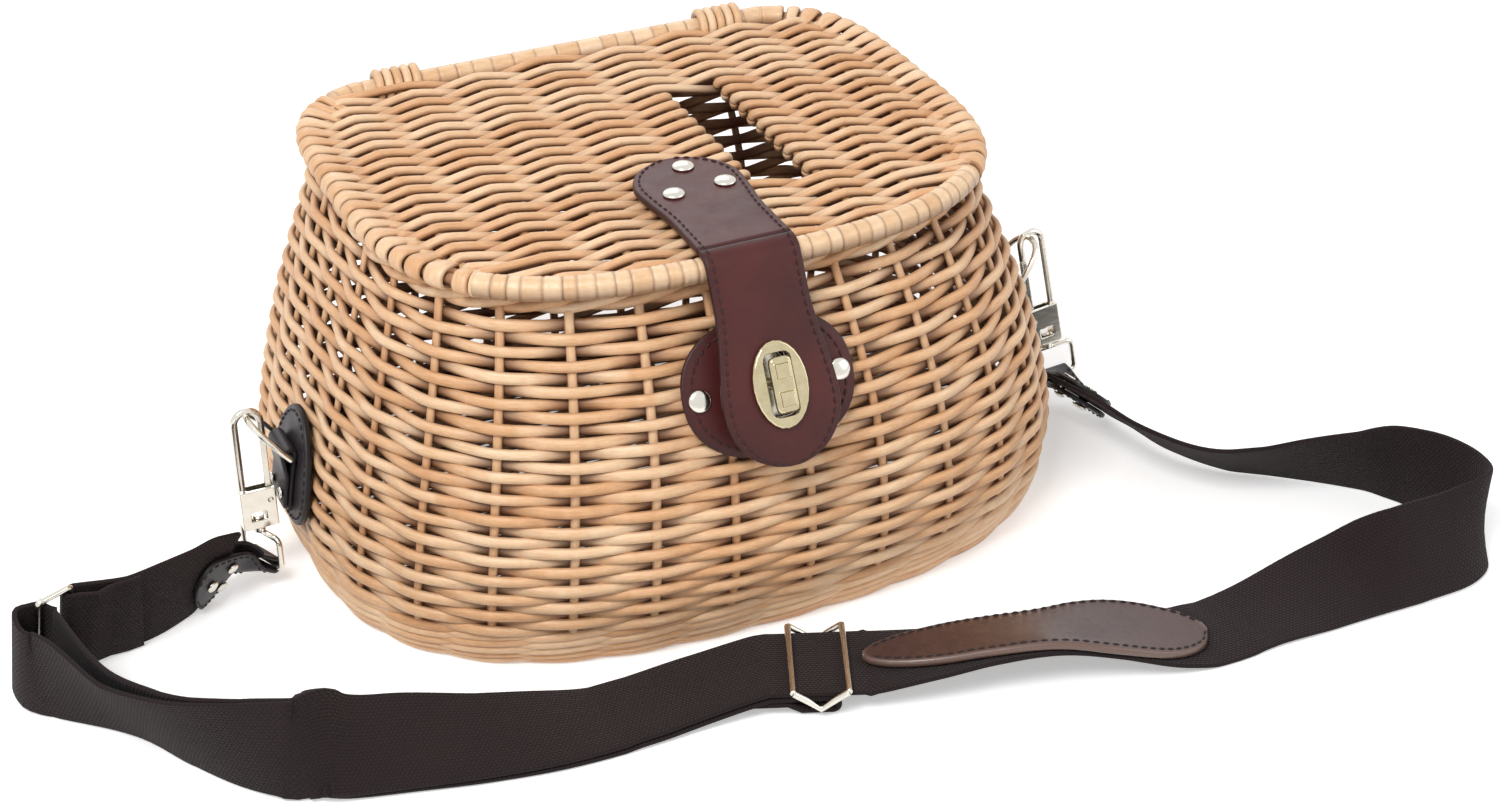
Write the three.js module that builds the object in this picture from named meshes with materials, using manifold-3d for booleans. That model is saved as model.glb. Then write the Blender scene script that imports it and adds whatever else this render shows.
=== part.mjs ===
// Wicker fishing creel with a hinged woven lid, leather turn-lock latch and shoulder strap.
// Millimetres, +Z up, +X right, the front of the basket faces -Y.
// The origin is on the ground, under the widest line of the basket.

import * as THREE from "three";
import { mergeVertices } from "three/addons/utils/BufferGeometryUtils.js";
import Module from "manifold-3d";

const wasm = await Module();
wasm.setup();

// Running gaps
const seatGap = 0.3; // between pieces that rest on each other
const runGap = 0.4; // between a rod and what turns round it
const overrun = 5; // how far a cutter passes a face

// Basket
const bodyHalfLength = 182;
const bodyFrontDepth = 151;
const bodyBackDepth = 129;
const backTrim = 7;
const bodyBackFlat = bodyBackDepth - backTrim; // the back is flat at this distance behind the widest line
const bodyFrontPower = 2.6;
const bodyBackPower = 4.4;
const rimHeight = 166; // centre of the rim rod
// Sections from the foot to the rim: height, half length and front depth
const sectionShares = [
  [0.0, 0.972, 0.885],
  [0.13, 1.0, 0.95],
  [0.3, 0.99, 1.0],
  [0.6, 0.923, 0.975],
  [0.8, 0.857, 0.885],
  [1.0, 0.785, 0.75],
];
const wallThickness = 8;
const wallBands = 4; // facets up its inner face
const facetRoom = 1; // the inner face stands this far out, for its facets between the stakes
const wallStakes = 30;
const wallRows = 29;
const weaveDepth = 5; // from where a rod passes over a stake in to where it passes behind
const rimRadius = 5.5;
const footHeight = 20;
const footThickness = 9;
const footRows = 3;
const footBulge = 2;
const baseThickness = 7;
const planSteps = 50;

// Lid
const [, rimLengthShare, rimDepthShare] = sectionShares.at(-1);
const lidEndOverhang = 4.13;
const lidFrontOverhang = 12.75;
const lidBackStep = 5;
const lidHalfLength = bodyHalfLength * rimLengthShare + lidEndOverhang;
const lidFrontDepth = bodyFrontDepth * rimDepthShare + lidFrontOverhang;
const lidBackDepth = bodyBackDepth - lidBackStep;
const lidCentreY = 4;
const lidFrontPower = 2.8;
const lidBackPower = 4.7;
const lidRodRadius = 5.5;
const lidPanelThickness = 8.4;
const lidPanelDrop = 0.4; // panel top below the top of the rods
const lidCorner = 28;
const lidSideX = lidHalfLength - lidCorner; // the end rods start this far from the middle
const lidRows = 44;
const lidWeaveDepth = 4.5;
// Stakes of the lid beside the slot, as shares of its half length
const lidStakeShares = [-0.779, -0.554, -0.327, -0.088, 0.592, 0.789];
const slotX = 40;
const slotY = -1;
const slotWidth = 26;
const slotLength = 105;
const slotRodRadius = 4;

// Willow loops of the hinge
const hingeFromEnd = 64;
const hingeX = lidHalfLength - hingeFromEnd;
const loopTurns = 5;
const loopRodRadius = 2;
const loopPitch = 4.6;
const loopSteps = 16;
const loopSides = 5;

// Latch
const latchX = -5;
const latchThickness = 3.5;
const latchHeadHalf = 24.5;
const latchWaistHalf = 21.5;
const latchLobeHalf = 26.5;
const latchHeadY = -30;
const tipShare = 0.12; // least width of a round end as a share of its half width
const latchNeckY = -90;
const flapDrop = 88; // straight length of the flap below the bend
const lockDrop = 53; // turn lock below the bend
const lockFall = 39; // its patch below the rim rod
const latchRivets = [[-2, -41], [9, -62], [-16, -64]];
const rivetHeadRadius = 5;
const rivetHeadHeight = 2.2;
const rivetShankRadius = 1.5;
const rivetTailHeight = 1;
const drillGap = 0.3;
const rivetSides = 8;
const drillSides = 6;

// Turn lock
const plateHalfWidth = 12.5;
const plateHalfHeight = 19;
const plateThickness = 2.4;
const plateBevel = 0.7;
const slotClearX = 1.25;
const slotRoundShare = 0.55; // corner of the slot against its half width
const slotClearZ = 1.75;
const buttonWidth = 10;
const buttonLength = 24;
const buttonThickness = 3.4;
const facetSize = 7.4;
const facetHeight = 1.3;
const facetTaper = 0.78; // top side of a facet as a share of its foot
const postRadius = 2.6;
const pinRadius = 1.5;
const lockBaseHalfWidth = 10;
const lockBaseHalfHeight = 15;
const lockBaseThickness = 1.2;
const backPlateThickness = 0.8;
const backPlateRim = 1;
const patchHalfWidth = 39;
const patchHalfHeight = 27;
const patchThickness = 3;
const patchPower = 2.3;
const patchRivetX = 32;

// End hardware
const sideZ = 58;
const sidePatchHalfWidth = 24;
const sidePatchHalfHeight = 27;
const sidePatchPower = 2.4;
const pearShares = [1, -0.22, -0.1]; // width of the patch against its height
const keeperHalfWidth = 10.5;
const keeperThickness = 2;
const keeperFoot = 40; // height of the keeper's lower end
const keeperPinch = 11; // the keeper's layers meet this far below the bar
const ringBarZ = 68;
const ringWire = 1.6;
const ringHalfWidth = 13;
const ringRoundShare = 0.8;
const keeperRivetY = 7;
const keeperRivetZ = 47;
const smallHeadRadius = 2.8;
const smallHeadHeight = 1.6;
const hookReach = 15; // from the dee ring's bar to the line of the hook
const hookWire = 1.8;
const hookHalfWidth = 6;
const hookCrownZ = 84;
const hookNoseZ = 76;
const hookBlockFoot = 30;
const hookBlockTop = 50;
const hookBlockHalfDepth = 3.6;
const hookFootThickness = 4;
const hookWindowTop = 38.6;
const hookWindowHalf = 3.6;
const gatePivotZ = 44;
const gateHalfDepth = 1.5;
const gateHalfWidth = 1.4;
const gateKnuckle = 2.6;
const gatePinRadius = 1;
const gatePinGap = 0.1;
const stemRadius = 1.5;
const stemHead = 2.8;
const stemHeadHeight = 1.2;
const eyeWire = 1.4;
const eyeHalfWidth = 13.5;
const eyeTopZ = 27;
const eyeBarZ = 11;
// How far the right hook hangs out and forward, against its length
const rightHangShares = [0.11, 0.165];

// Strap
const strapOut = 121; // how far it lies out beyond the hooks
const strapAhead = 94; // how far it lies out in front of the basket
const strapFront = bodyFrontDepth + strapAhead;
const hookShare = 0.621872; // the hooks' reach as a share of the strap's, to the sides
const frontShare = 0.616327; // the basket's as a share of the strap's, in front
const webStep = 16; // longest facet of the webbing
const webFineStep = 2;
const webTurn = 0.2; // most a facet turns, in radians
const webbingWidth = 45;
const webbingThickness = 2.2;
const groundGap = 0.25;
const layerGap = 3; // centre to centre of the doubled webbing
const tabThickness = 2;
const tabTongueHalf = 9;
const tabHeadHalf = 15;
const tabLength = 46;
const tabNeckShares = [0.2, 0.6]; // where along the tab its neck widens
const tabRoundShare = 0.75; // where its round end starts
const tabTipShare = 0.04;
const tabDrop = 5; // the left tab's head lies this far below the middle of the webbing
const tabRivetRadius = 3;
const webbingInTab = 26; // the webbing's end inside a tab
const ringSlotWire = 1.6;
const ringSlotHalf = 8.6; // half the distance between the adjusting ring's bars
const ringSlotRound = 2.4;
const ringEdgeGap = 0.6;
const lapLength = 32; // sewn end of a webbing
const padLength = 156;
const padHalfWidth = 25;
const padThickness = 4;
const padTaperShare = 0.55; // half width near the pad's narrow end
const padTaperLength = 0.625; // share of the pad over which it widens
const padEndPower = 3.2; // how square the pad's ends are
const padTipShare = 0.02;
const padEndSpan = 0.17; // share of the pad with closer stations at each end
const slideWire = 1.5;
const slideHalfLength = 12;
const slideEdgeGap = 0.9;
const slideApproach = 4; // more flat webbing before and behind the slide
const slideTravel = 5; // free run of the slide each way
const slideLift = 10.3; // height of the outer webbing in the slide

// Strap stations: middle of the webbing as shares of the spread, the front reach and the
// width, then the direction across the webbing
const leftShares = [
  [-0.664, -0.024, 0.31, -0.13, -0.62, 0.78],
  [-0.705, -0.057, 0.4, -0.13, -0.48, 0.86],
  [-0.745, -0.09, 0.45, -0.13, -0.38, 0.91],
  [-0.82, -0.127, 0.478, -0.15, -0.27, 0.95],
];
const frontShares = [
  [-0.895, -0.414, 0.444, -0.16, -0.51, 0.85],
  [-0.841, -0.52, 0.489, -0.13, -0.33, 0.93],
  [-0.775, -0.604, 0.511, 0.09, -0.13, 0.99],
  [-0.72, -0.649, 0.511, 0.16, 0.13, 0.98],
  [-0.645, -0.638, 0.267, 0.38, 0.78, 0.49],
  [-0.569, -0.655, 0.233, 0.22, 0.88, 0.42],
  [-0.473, -0.678, 0.144, 0.29, 0.93, 0.24],
  [-0.377, -0.694, 0.078, 0.33, 0.94, 0.11],
  [-0.27, -0.694, 0.1, 0.38, 0.93, 0],
  [-0.167, -0.692, 0.15, 0.38, 0.92, 0],
];
const slideShares = [-0.009, -0.739, 0.93, -0.37];
const rightShares = [
  [0.131, -0.804, 0.27, 0.34, 0.93, -0.13],
  [0.2, -0.824, 0.289, 0.35, 0.9, -0.23],
  [0.286, -0.853, 0.3, 0.34, 0.9, -0.29],
  [0.378, -0.88, 0.233, 0.36, 0.92, -0.16],
  [0.469, -0.908, 0.089, 0.36, 0.93, -0.05],
  [0.533, -0.912, 0.022, 0.34, 0.94, 0],
  [0.597, -0.904, 0.044, 0.31, 0.95, 0.04],
  [0.664, -0.906, 0.122, 0.29, 0.94, 0.2],
  [0.758, -0.912, 0.233, 0.02, 0.9, 0.44],
  [0.838, -0.939, 0.422, 0.04, 0.58, 0.81],
  [0.934, -0.937, 0.456, 0.22, 0.46, 0.86],
  [0.98, -0.908, 0.478, 0.2, 0.3, 0.93],
  [0.991, -0.841, 0.489, 0.22, 0.27, 0.94],
  [0.983, -0.771, 0.489, 0.07, 0.23, 0.97],
  [0.955, -0.694, 0.478, -0.26, 0.14, 0.96],
  [0.912, -0.645, 0.467, -0.37, -0.18, 0.91],
  [0.856, -0.594, 0.433, -0.45, -0.34, 0.83],
  [0.794, -0.543, 0.378, -0.49, -0.49, 0.72],
  [0.733, -0.486, 0.367, -0.57, -0.5, 0.66],
  [0.681, -0.384, 0.411, -0.63, -0.41, 0.66],
  [0.658, -0.267, 0.433, -0.68, -0.26, 0.68],
  [0.646, -0.19, 0.4, -0.71, -0.2, 0.67],
  [0.643, -0.125, 0.355, -0.76, -0.13, 0.63],
];
// Adjusting ring: its middle, then the directions across it and up it
const ringShares = [-0.944, -0.167, 0.905, 0.425, 0.1, -0.21, 0.97];

// Colours of the materials
function material(color, roughness, metalness) {
  return new THREE.MeshStandardMaterial({ color, roughness, metalness });
}
const willow = material(0xd9a873, 0.62, 0);
const willowDark = material(0xc08d58, 0.66, 0);
const latchLeather = material(0x5e363a, 0.48, 0);
const blackLeather = material(0x35302f, 0.5, 0);
const padLeather = material(0x57403c, 0.42, 0);
const webbing = material(0x332728, 0.9, 0);
const paleBrass = material(0xe6dfb8, 0.22, 1);
const nickel = material(0xd8d4ca, 0.25, 1);

const group = new THREE.Group();

function add(name, geometry, look) {
  const mesh = new THREE.Mesh(geometry, look);
  mesh.name = name;
  group.add(mesh);
  return mesh;
}

// Small vector helpers
const V = (x, y, z) => new THREE.Vector3(x, y, z);
const along = (p, d, s) => p.clone().addScaledVector(d, s);
const mix = THREE.MathUtils.lerp;
const up = V(0, 0, 1);
const right = V(1, 0, 0);

// Closed solid over rings of points; a closed strip joins its last ring to its first.
// A facet between four points folds along its other diagonal where asked.
function skin(rings, closed, folded = () => false) {
  const n = rings[0].length;
  const positions = rings.flat().flatMap((p) => [p.x, p.y, p.z]);
  const index = [];
  const last = closed ? rings.length : rings.length - 1;
  for (let i = 0; i < last; i++) {
    const a = i * n;
    const b = ((i + 1) % rings.length) * n;
    for (let j = 0; j < n; j++) {
      const k = (j + 1) % n;
      if (folded(i, j)) index.push(a + j, b + j, a + k, a + k, b + j, b + k);
      else index.push(a + j, b + j, b + k, a + j, b + k, a + k);
    }
  }
  if (!closed) {
    const end = (rings.length - 1) * n;
    for (let j = 1; j < n - 1; j++) {
      index.push(0, j, j + 1);
      index.push(end, end + j + 1, end + j);
    }
  }
  return outward(solid(positions, index));
}

function solid(positions, index) {
  const g = new THREE.BufferGeometry();
  g.setAttribute("position", new THREE.Float32BufferAttribute(positions, 3));
  g.setIndex(index);
  return g;
}

// Signed volume; its sign says which way the faces look
function volume(g) {
  const p = g.attributes.position;
  const at = (i) => V(p.getX(i), p.getY(i), p.getZ(i));
  let sum = 0;
  for (let i = 0; i < g.index.count; i += 3) {
    const [a, b, c] = [0, 1, 2].map((k) => at(g.index.getX(i + k)));
    sum += a.dot(b.cross(c));
  }
  return sum;
}

function outward(g) {
  if (volume(g) < 0) {
    const flipped = [];
    for (let i = 0; i < g.index.count; i += 3) {
      flipped.push(g.index.getX(i), g.index.getX(i + 2), g.index.getX(i + 1));
    }
    g.setIndex(flipped);
  }
  return g;
}

// Booleans
function plain(geometry) {
  const g = geometry.index ? geometry.clone() : geometry;
  g.deleteAttribute("normal");
  g.deleteAttribute("uv");
  return mergeVertices(g, 1e-4);
}

function toManifold(geometry) {
  const g = plain(geometry);
  return new wasm.Manifold(new wasm.Mesh({
    numProp: 3,
    vertProperties: Float32Array.from(g.attributes.position.array),
    triVerts: Uint32Array.from(g.index.array),
  }));
}

function fromManifold(m) {
  const mesh = m.getMesh();
  return solid(Array.from(mesh.vertProperties), Array.from(mesh.triVerts));
}

function cut(geometry, cutters) {
  let m = toManifold(geometry);
  for (const c of cutters) m = m.subtract(toManifold(c));
  return fromManifold(m);
}

function join(geometries) {
  return fromManifold(geometries.map(toManifold).reduce((a, b) => a.add(b)));
}

// Matrix that carries +Z to the given direction and the origin to a point
function standing(point, axis, side) {
  const z = axis.clone().normalize();
  const x = along(side, z, -side.dot(z)).normalize();
  const y = z.clone().cross(x);
  return new THREE.Matrix4().makeBasis(x, y, z).setPosition(point);
}

function box(x0, x1, y0, y1, z0, z1) {
  const g = new THREE.BoxGeometry(x1 - x0, y1 - y0, z1 - z0);
  return g.translate((x0 + x1) / 2, (y0 + y1) / 2, (z0 + z1) / 2);
}

function rod(point, axis, radius, start, end, sides = 16) {
  const g = new THREE.CylinderGeometry(radius, radius, end - start, sides);
  g.rotateX(Math.PI / 2).translate(0, 0, (start + end) / 2);
  return g.applyMatrix4(standing(point, axis, Math.abs(axis.x) > 0.9 ? up : right));
}

// Tube of round section along points, with a fixed reference direction. The points
// before and after it, where given, turn its ends.
function tube(points, radius, sides, closed, reference, before = points[0], after = points.at(-1)) {
  const rings = points.map((p, i) => {
    const n = points.length;
    const a = closed ? points[(i + n - 1) % n] : points[i - 1] ?? before;
    const b = closed ? points[(i + 1) % n] : points[i + 1] ?? after;
    const t = b.clone().sub(a).normalize();
    const u = along(reference, t, -reference.dot(t)).normalize();
    const v = t.clone().cross(u);
    return Array.from({ length: sides }, (_, j) => {
      const w = (2 * Math.PI * j) / sides;
      return along(along(p, u, radius * Math.cos(w)), v, radius * Math.sin(w));
    });
  });
  return skin(rings, closed);
}

// Flat strip: each station has a centre p, a width direction w, a half width and a normal
// n. A twisted facet folds along the diagonal that lies further to one fixed side, so that
// strips on top of each other fold alike.
const foldSide = V(1, -1, 1);
function ribbon(stations, thickness) {
  const h = thickness / 2;
  const points = stations.flatMap(({ p, w, half, n }) => {
    const [a, b] = [along(p, w, half), along(p, w, -half)];
    return [along(a, n, h), along(b, n, h), along(b, n, -h), along(a, n, -h)];
  });
  const index = [];
  for (let i = 0; i < stations.length - 1; i++) {
    const a = 4 * i;
    const b = a + 4;
    const turning = stations[i].w.clone().sub(stations[i + 1].w);
    if (turning.dot(foldSide) > 0) {
      index.push(a, b, b + 1, a, b + 1, a + 1, a + 2, b + 2, a + 3, a + 3, b + 2, b + 3);
    } else {
      index.push(a, b, a + 1, a + 1, b, b + 1, a + 2, b + 2, b + 3, a + 2, b + 3, a + 3);
    }
    index.push(a + 1, b + 1, b + 2, a + 1, b + 2, a + 2, a + 3, b + 3, b, a + 3, b, a);
  }
  const end = 4 * (stations.length - 1);
  index.push(0, 1, 2, 0, 2, 3, end, end + 2, end + 1, end, end + 3, end + 2);
  return outward(solid(points.flatMap((p) => [p.x, p.y, p.z]), index));
}

// Plan outlines
function superPoint(half, front, back, frontPower, backPower, angle) {
  const c = Math.cos(angle);
  const s = Math.sin(angle);
  const power = 2 / (s < 0 ? frontPower : backPower);
  const depth = s < 0 ? front : back;
  return V(half * Math.sign(c) * Math.abs(c) ** power, depth * Math.sign(s) * Math.abs(s) ** power, 0);
}

// Smooth value between the sections, by Hermite pieces
function sectionValue(height, column) {
  const rows = sectionShares;
  const h = THREE.MathUtils.clamp(height / rimHeight, 0, 1);
  let i = 0;
  while (i < rows.length - 2 && h > rows[i + 1][0]) i++;
  const slope = (k) => {
    const a = rows[Math.max(k - 1, 0)];
    const b = rows[Math.min(k + 1, rows.length - 1)];
    return (b[column] - a[column]) / (b[0] - a[0]);
  };
  const [p, q] = [rows[i], rows[i + 1]];
  const w = q[0] - p[0];
  const t = (h - p[0]) / w;
  const t2 = t * t;
  const t3 = t2 * t;
  return (2 * t3 - 3 * t2 + 1) * p[column] + (t3 - 2 * t2 + t) * w * slope(i)
    + (3 * t2 - 2 * t3) * q[column] + (t3 - t2) * w * slope(i + 1);
}

const bodyHalf = (z) => bodyHalfLength * sectionValue(z, 1);
const bodyFront = (z) => bodyFrontDepth * sectionValue(z, 2);

function bodyOutline(z, angle) {
  const p = superPoint(bodyHalf(z), bodyFront(z), bodyBackDepth, bodyFrontPower, bodyBackPower, angle);
  return V(p.x, Math.min(p.y, bodyBackFlat), z);
}

function lidOutline(angle) {
  const p = superPoint(lidHalfLength, lidFrontDepth, lidBackDepth, lidFrontPower, lidBackPower, angle);
  return V(p.x, Math.min(p.y + lidCentreY, bodyBackFlat), 0);
}

// Point of an outline, moved in along its plan normal
function inset(outline, angle, amount) {
  const step = 0.01;
  const t = outline(angle + step).sub(outline(angle - step)).normalize();
  return along(outline(angle), V(t.y, -t.x, 0), -amount);
}

// Closed ring whose section is a polygon of [inset, height]
function ringSolid(outlineAt, profile) {
  const rings = [];
  for (let i = 0; i < planSteps; i++) {
    const angle = (2 * Math.PI * (i + 0.5)) / planSteps;
    rings.push(profile.map(([amount, z]) => {
      const p = inset((a) => outlineAt(z, a), angle, amount);
      return V(p.x, p.y, z);
    }));
  }
  return skin(rings, true);
}

// Front and end of the wall
function frontPoint(x, z) {
  const share = 1 - (Math.abs(x) / bodyHalf(z)) ** bodyFrontPower;
  return V(x, -bodyFront(z) * share ** (1 / bodyFrontPower), z);
}

function sidePoint(y, z) {
  const depth = y < 0 ? bodyFront(z) : bodyBackDepth;
  const power = y < 0 ? bodyFrontPower : bodyBackPower;
  const share = 1 - (Math.abs(y) / depth) ** power;
  return V(bodyHalf(z) * share ** (1 / power), y, z);
}

function normalOf(surface, s, t) {
  const step = 1;
  const a = surface(s + step, t).sub(surface(s - step, t));
  const b = surface(s, t + step).sub(surface(s, t - step));
  return a.cross(b).normalize();
}

// Leather patch that follows a surface: rings round a centre, then its back
function patchSolid(surface, s0, t0, halfS, halfT, power, thickness, shape) {
  const rings = 2;
  const sides = 20;
  const place = (r, angle, offset) => {
    const c = Math.cos(angle);
    const s = Math.sin(angle);
    const t = halfT * r * Math.sign(s) * Math.abs(s) ** (2 / power);
    const u = halfS * r * Math.sign(c) * Math.abs(c) ** (2 / power) * shape(t / halfT);
    const n = normalOf(surface, s0 + u, t0 + t);
    return along(surface(s0 + u, t0 + t), n, offset);
  };
  const points = [];
  const index = [];
  for (const offset of [seatGap, seatGap + thickness]) {
    points.push(place(0, 0, offset));
    for (let i = 1; i <= rings; i++) {
      for (let j = 0; j < sides; j++) points.push(place(i / rings, (2 * Math.PI * j) / sides, offset));
    }
  }
  const count = 1 + rings * sides;
  for (const [base, flip] of [[0, true], [count, false]]) {
    const face = (a, b, c) => index.push(...(flip ? [a, c, b] : [a, b, c]));
    for (let j = 0; j < sides; j++) {
      const k = (j + 1) % sides;
      face(base, base + 1 + j, base + 1 + k);
      for (let i = 0; i < rings - 1; i++) {
        const a = base + 1 + i * sides;
        const b = a + sides;
        face(a + j, b + j, b + k);
        face(a + j, b + k, a + k);
      }
    }
  }
  const rim = 1 + (rings - 1) * sides;
  for (let j = 0; j < sides; j++) {
    const k = (j + 1) % sides;
    index.push(rim + j, rim + k, count + rim + k, rim + j, count + rim + k, count + rim + j);
  }
  return outward(solid(points.flatMap((p) => [p.x, p.y, p.z]), index));
}

// Rivet: domed head outside, shank through the grip, flat tail inside
function rivet(point, axis, grip, headRadius, headHeight) {
  const tail = rivetShankRadius * 2;
  const profile = [
    [0, -grip - rivetTailHeight],
    [tail, -grip - rivetTailHeight],
    [tail, -grip],
    [rivetShankRadius, -grip],
    [rivetShankRadius, 0],
    [headRadius, 0],
    [headRadius * 0.94, headHeight * 0.4],
    [headRadius * 0.66, headHeight * 0.8],
    [0, headHeight],
  ].map(([r, z]) => new THREE.Vector2(r, z));
  const g = new THREE.LatheGeometry(profile, rivetSides);
  g.rotateX(Math.PI / 2);
  return plain(g.applyMatrix4(standing(point, axis, right.clone().addScaledVector(up, 0.01))));
}

function drill(point, axis, depth) {
  return rod(point, axis, rivetShankRadius + drillGap, -depth - overrun, overrun, drillSides);
}

// Basket: foot, base, wall and rim
const rimFoot = rimHeight - rimRadius;
const rimTop = rimHeight + rimRadius;
const wallTop = rimFoot - seatGap;
const wallFoot = footHeight + seatGap;
const rowHeight = footHeight / footRows;

const footProfile = [];
for (let i = 0; i < footRows; i++) {
  for (const share of [0, 0.5]) {
    footProfile.push([-footBulge * Math.sin(Math.PI * share), (i + share) * rowHeight]);
  }
}
footProfile.push([0, footHeight], [footThickness, footHeight], [footThickness, 0]);
add("foot_border", ringSolid(bodyOutline, footProfile), willow);

const baseShape = new THREE.Shape();
for (let i = 0; i < planSteps; i++) {
  const angle = (2 * Math.PI * (i + 0.5)) / planSteps;
  const p = inset((a) => bodyOutline(0, a), angle, footThickness + seatGap);
  if (i === 0) baseShape.moveTo(p.x, p.y);
  else baseShape.lineTo(p.x, p.y);
}
const baseSolid = new THREE.ExtrudeGeometry(baseShape, { depth: baseThickness, bevelEnabled: false });
add("base_panel", baseSolid, willowDark);

// Weave: the rods of neighbouring rows pass over a stake and behind it in turn
const passesOver = (i, j) => (i + j) % 2 === 0;

// Angles of the stakes at one height: even distances round the outline from the middle of the back
const outlineSamples = 2880;
function stakeAngles(z) {
  const angleAt = (i) => Math.PI / 2 + (2 * Math.PI * i) / outlineSamples;
  const run = [0];
  for (let i = 1; i <= outlineSamples; i++) {
    const step = bodyOutline(z, angleAt(i)).distanceTo(bodyOutline(z, angleAt(i - 1)));
    run.push(run[i - 1] + step);
  }
  const angles = [];
  let i = 1;
  for (let j = 0; j < wallStakes; j++) {
    const target = (run[outlineSamples] * j) / wallStakes;
    while (run[i] < target) i++;
    angles.push(angleAt(i - 1 + (target - run[i - 1]) / (run[i] - run[i - 1])));
  }
  return angles;
}

// Wall: a ring of points at each stake, up the woven outer face and down the inner one
function wovenWall() {
  const levels = [wallFoot];
  for (let k = 0; k < wallRows; k++) levels.push(mix(wallFoot, wallTop, (k + 0.5) / wallRows));
  levels.push(wallTop);
  const facing = levels.map((z, j) => {
    const edge = j === 0 || j === levels.length - 1;
    return { z, amount: (i) => (edge ? weaveDepth / 2 : passesOver(i, j) ? 0 : weaveDepth) };
  });
  for (let j = wallBands; j >= 0; j--) {
    facing.push({ z: mix(wallFoot, wallTop, j / wallBands), amount: () => wallThickness - facetRoom });
  }
  const rings = Array.from({ length: wallStakes }, () => []);
  for (const { z, amount } of facing) {
    stakeAngles(z).forEach((angle, i) => {
      const p = inset((a) => bodyOutline(z, a), angle, amount(i));
      rings[i].push(V(p.x, p.y, z));
    });
  }
  return skin(rings, true, passesOver);
}

const rimProfile = [];
const rodSides = 8;
for (let j = 0; j < rodSides; j++) {
  const w = (2 * Math.PI * (j + 0.5)) / rodSides;
  rimProfile.push([rimRadius - rimRadius * Math.cos(w), rimHeight + rimRadius * Math.sin(w)]);
}
const rimAt = (z, angle) => bodyOutline(rimHeight, angle);
add("rim_border", ringSolid(rimAt, rimProfile), willow);

// Lid heights and the hinge line
const lidRodZ = rimTop + seatGap + lidRodRadius;
const lidTop = lidRodZ + lidRodRadius;
const hingeY = bodyBackFlat - lidRodRadius;
const panelTop = lidTop - lidPanelDrop;
const panelFoot = panelTop - lidPanelThickness;

// Hinge loops: each is one willow rod wound round the rim rod and the lid's back rod
const loopReach = lidRodRadius + runGap + loopRodRadius;
const loopWidth = loopTurns * loopPitch + 2 * loopRodRadius;
function loopPath(x0) {
  const rise = lidRodZ - rimHeight;
  const arc = Math.PI * loopReach;
  const total = 2 * rise + 2 * arc;
  const points = [];
  const count = loopTurns * loopSteps;
  for (let i = 0; i <= count; i++) {
    const turn = i / loopSteps;
    let s = (turn % 1) * total;
    let y = 0;
    let z = 0;
    if (s < rise) {
      y = hingeY - loopReach;
      z = rimHeight + s;
    } else if ((s -= rise) < arc) {
      y = hingeY - loopReach * Math.cos(s / loopReach);
      z = lidRodZ + loopReach * Math.sin(s / loopReach);
    } else if ((s -= arc) < rise) {
      y = hingeY + loopReach;
      z = lidRodZ - s;
    } else {
      s -= rise;
      y = hingeY + loopReach * Math.cos(s / loopReach);
      z = rimHeight - loopReach * Math.sin(s / loopReach);
    }
    points.push(V(x0 + (turn - loopTurns / 2) * loopPitch, y, z));
  }
  return points;
}

// Least gap between neighbouring turns of a loop, measured on its points
function leastGap(points) {
  let least = Infinity;
  points.forEach((p, i) => {
    for (let j = i + Math.floor(loopSteps / 2); j < points.length; j++) {
      least = Math.min(least, p.distanceTo(points[j]) - 2 * loopRodRadius);
    }
  });
  return least;
}
for (const [side, x0] of [["left", -hingeX], ["right", hingeX]]) {
  const path = loopPath(x0);
  console.log(`hinge_loop_${side}: least gap between turns ${leastGap(path).toFixed(2)} mm`);
  add(`hinge_loop_${side}`, tube(path, loopRodRadius, loopSides, false, right), willow);
}

// Lid frame: rods that follow the outline, face to face at the corners
function angleAtX(x, front) {
  const power = front ? lidFrontPower : lidBackPower;
  const c = (Math.abs(x) / lidHalfLength) ** (power / 2);
  const a = Math.acos(Math.min(c, 1));
  const quarter = x < 0 ? Math.PI - a : a;
  return front ? -quarter : quarter;
}

// Centre line of a lid rod, with half a gap off each end
const rodSteps = 16;
function lidRodPoint(angle) {
  const p = inset(lidOutline, angle, lidRodRadius);
  return V(p.x, p.y, lidRodZ);
}

function lidRod(from, to) {
  const step = 0.001;
  const tangentOf = (angle) => lidRodPoint(angle + step).sub(lidRodPoint(angle - step));
  const backOff = (angle) => seatGap * step / tangentOf(angle).length();
  const start = from + backOff(from);
  const end = to - backOff(to);
  const points = [];
  for (let i = 0; i <= rodSteps; i++) points.push(lidRodPoint(mix(start, end, i / rodSteps)));
  const before = along(points[1], tangentOf(from).normalize(), -lidRodRadius);
  const after = along(points[rodSteps - 1], tangentOf(to).normalize(), lidRodRadius);
  return tube(points, lidRodRadius, 8, false, up, before, after);
}
const backLeft = angleAtX(-lidSideX, false);
const backRight = angleAtX(lidSideX, false);
const frontLeft = angleAtX(-lidSideX, true);
const frontRight = angleAtX(lidSideX, true);
const fullTurn = 2 * Math.PI;
add("lid_back_rod", lidRod(backRight, backLeft), willow);
add("lid_front_rod", lidRod(frontLeft, frontRight), willow);
add("lid_end_rod_right", lidRod(frontRight, backRight), willow);
add("lid_end_rod_left", lidRod(backLeft, frontLeft + fullTurn), willow);

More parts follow.
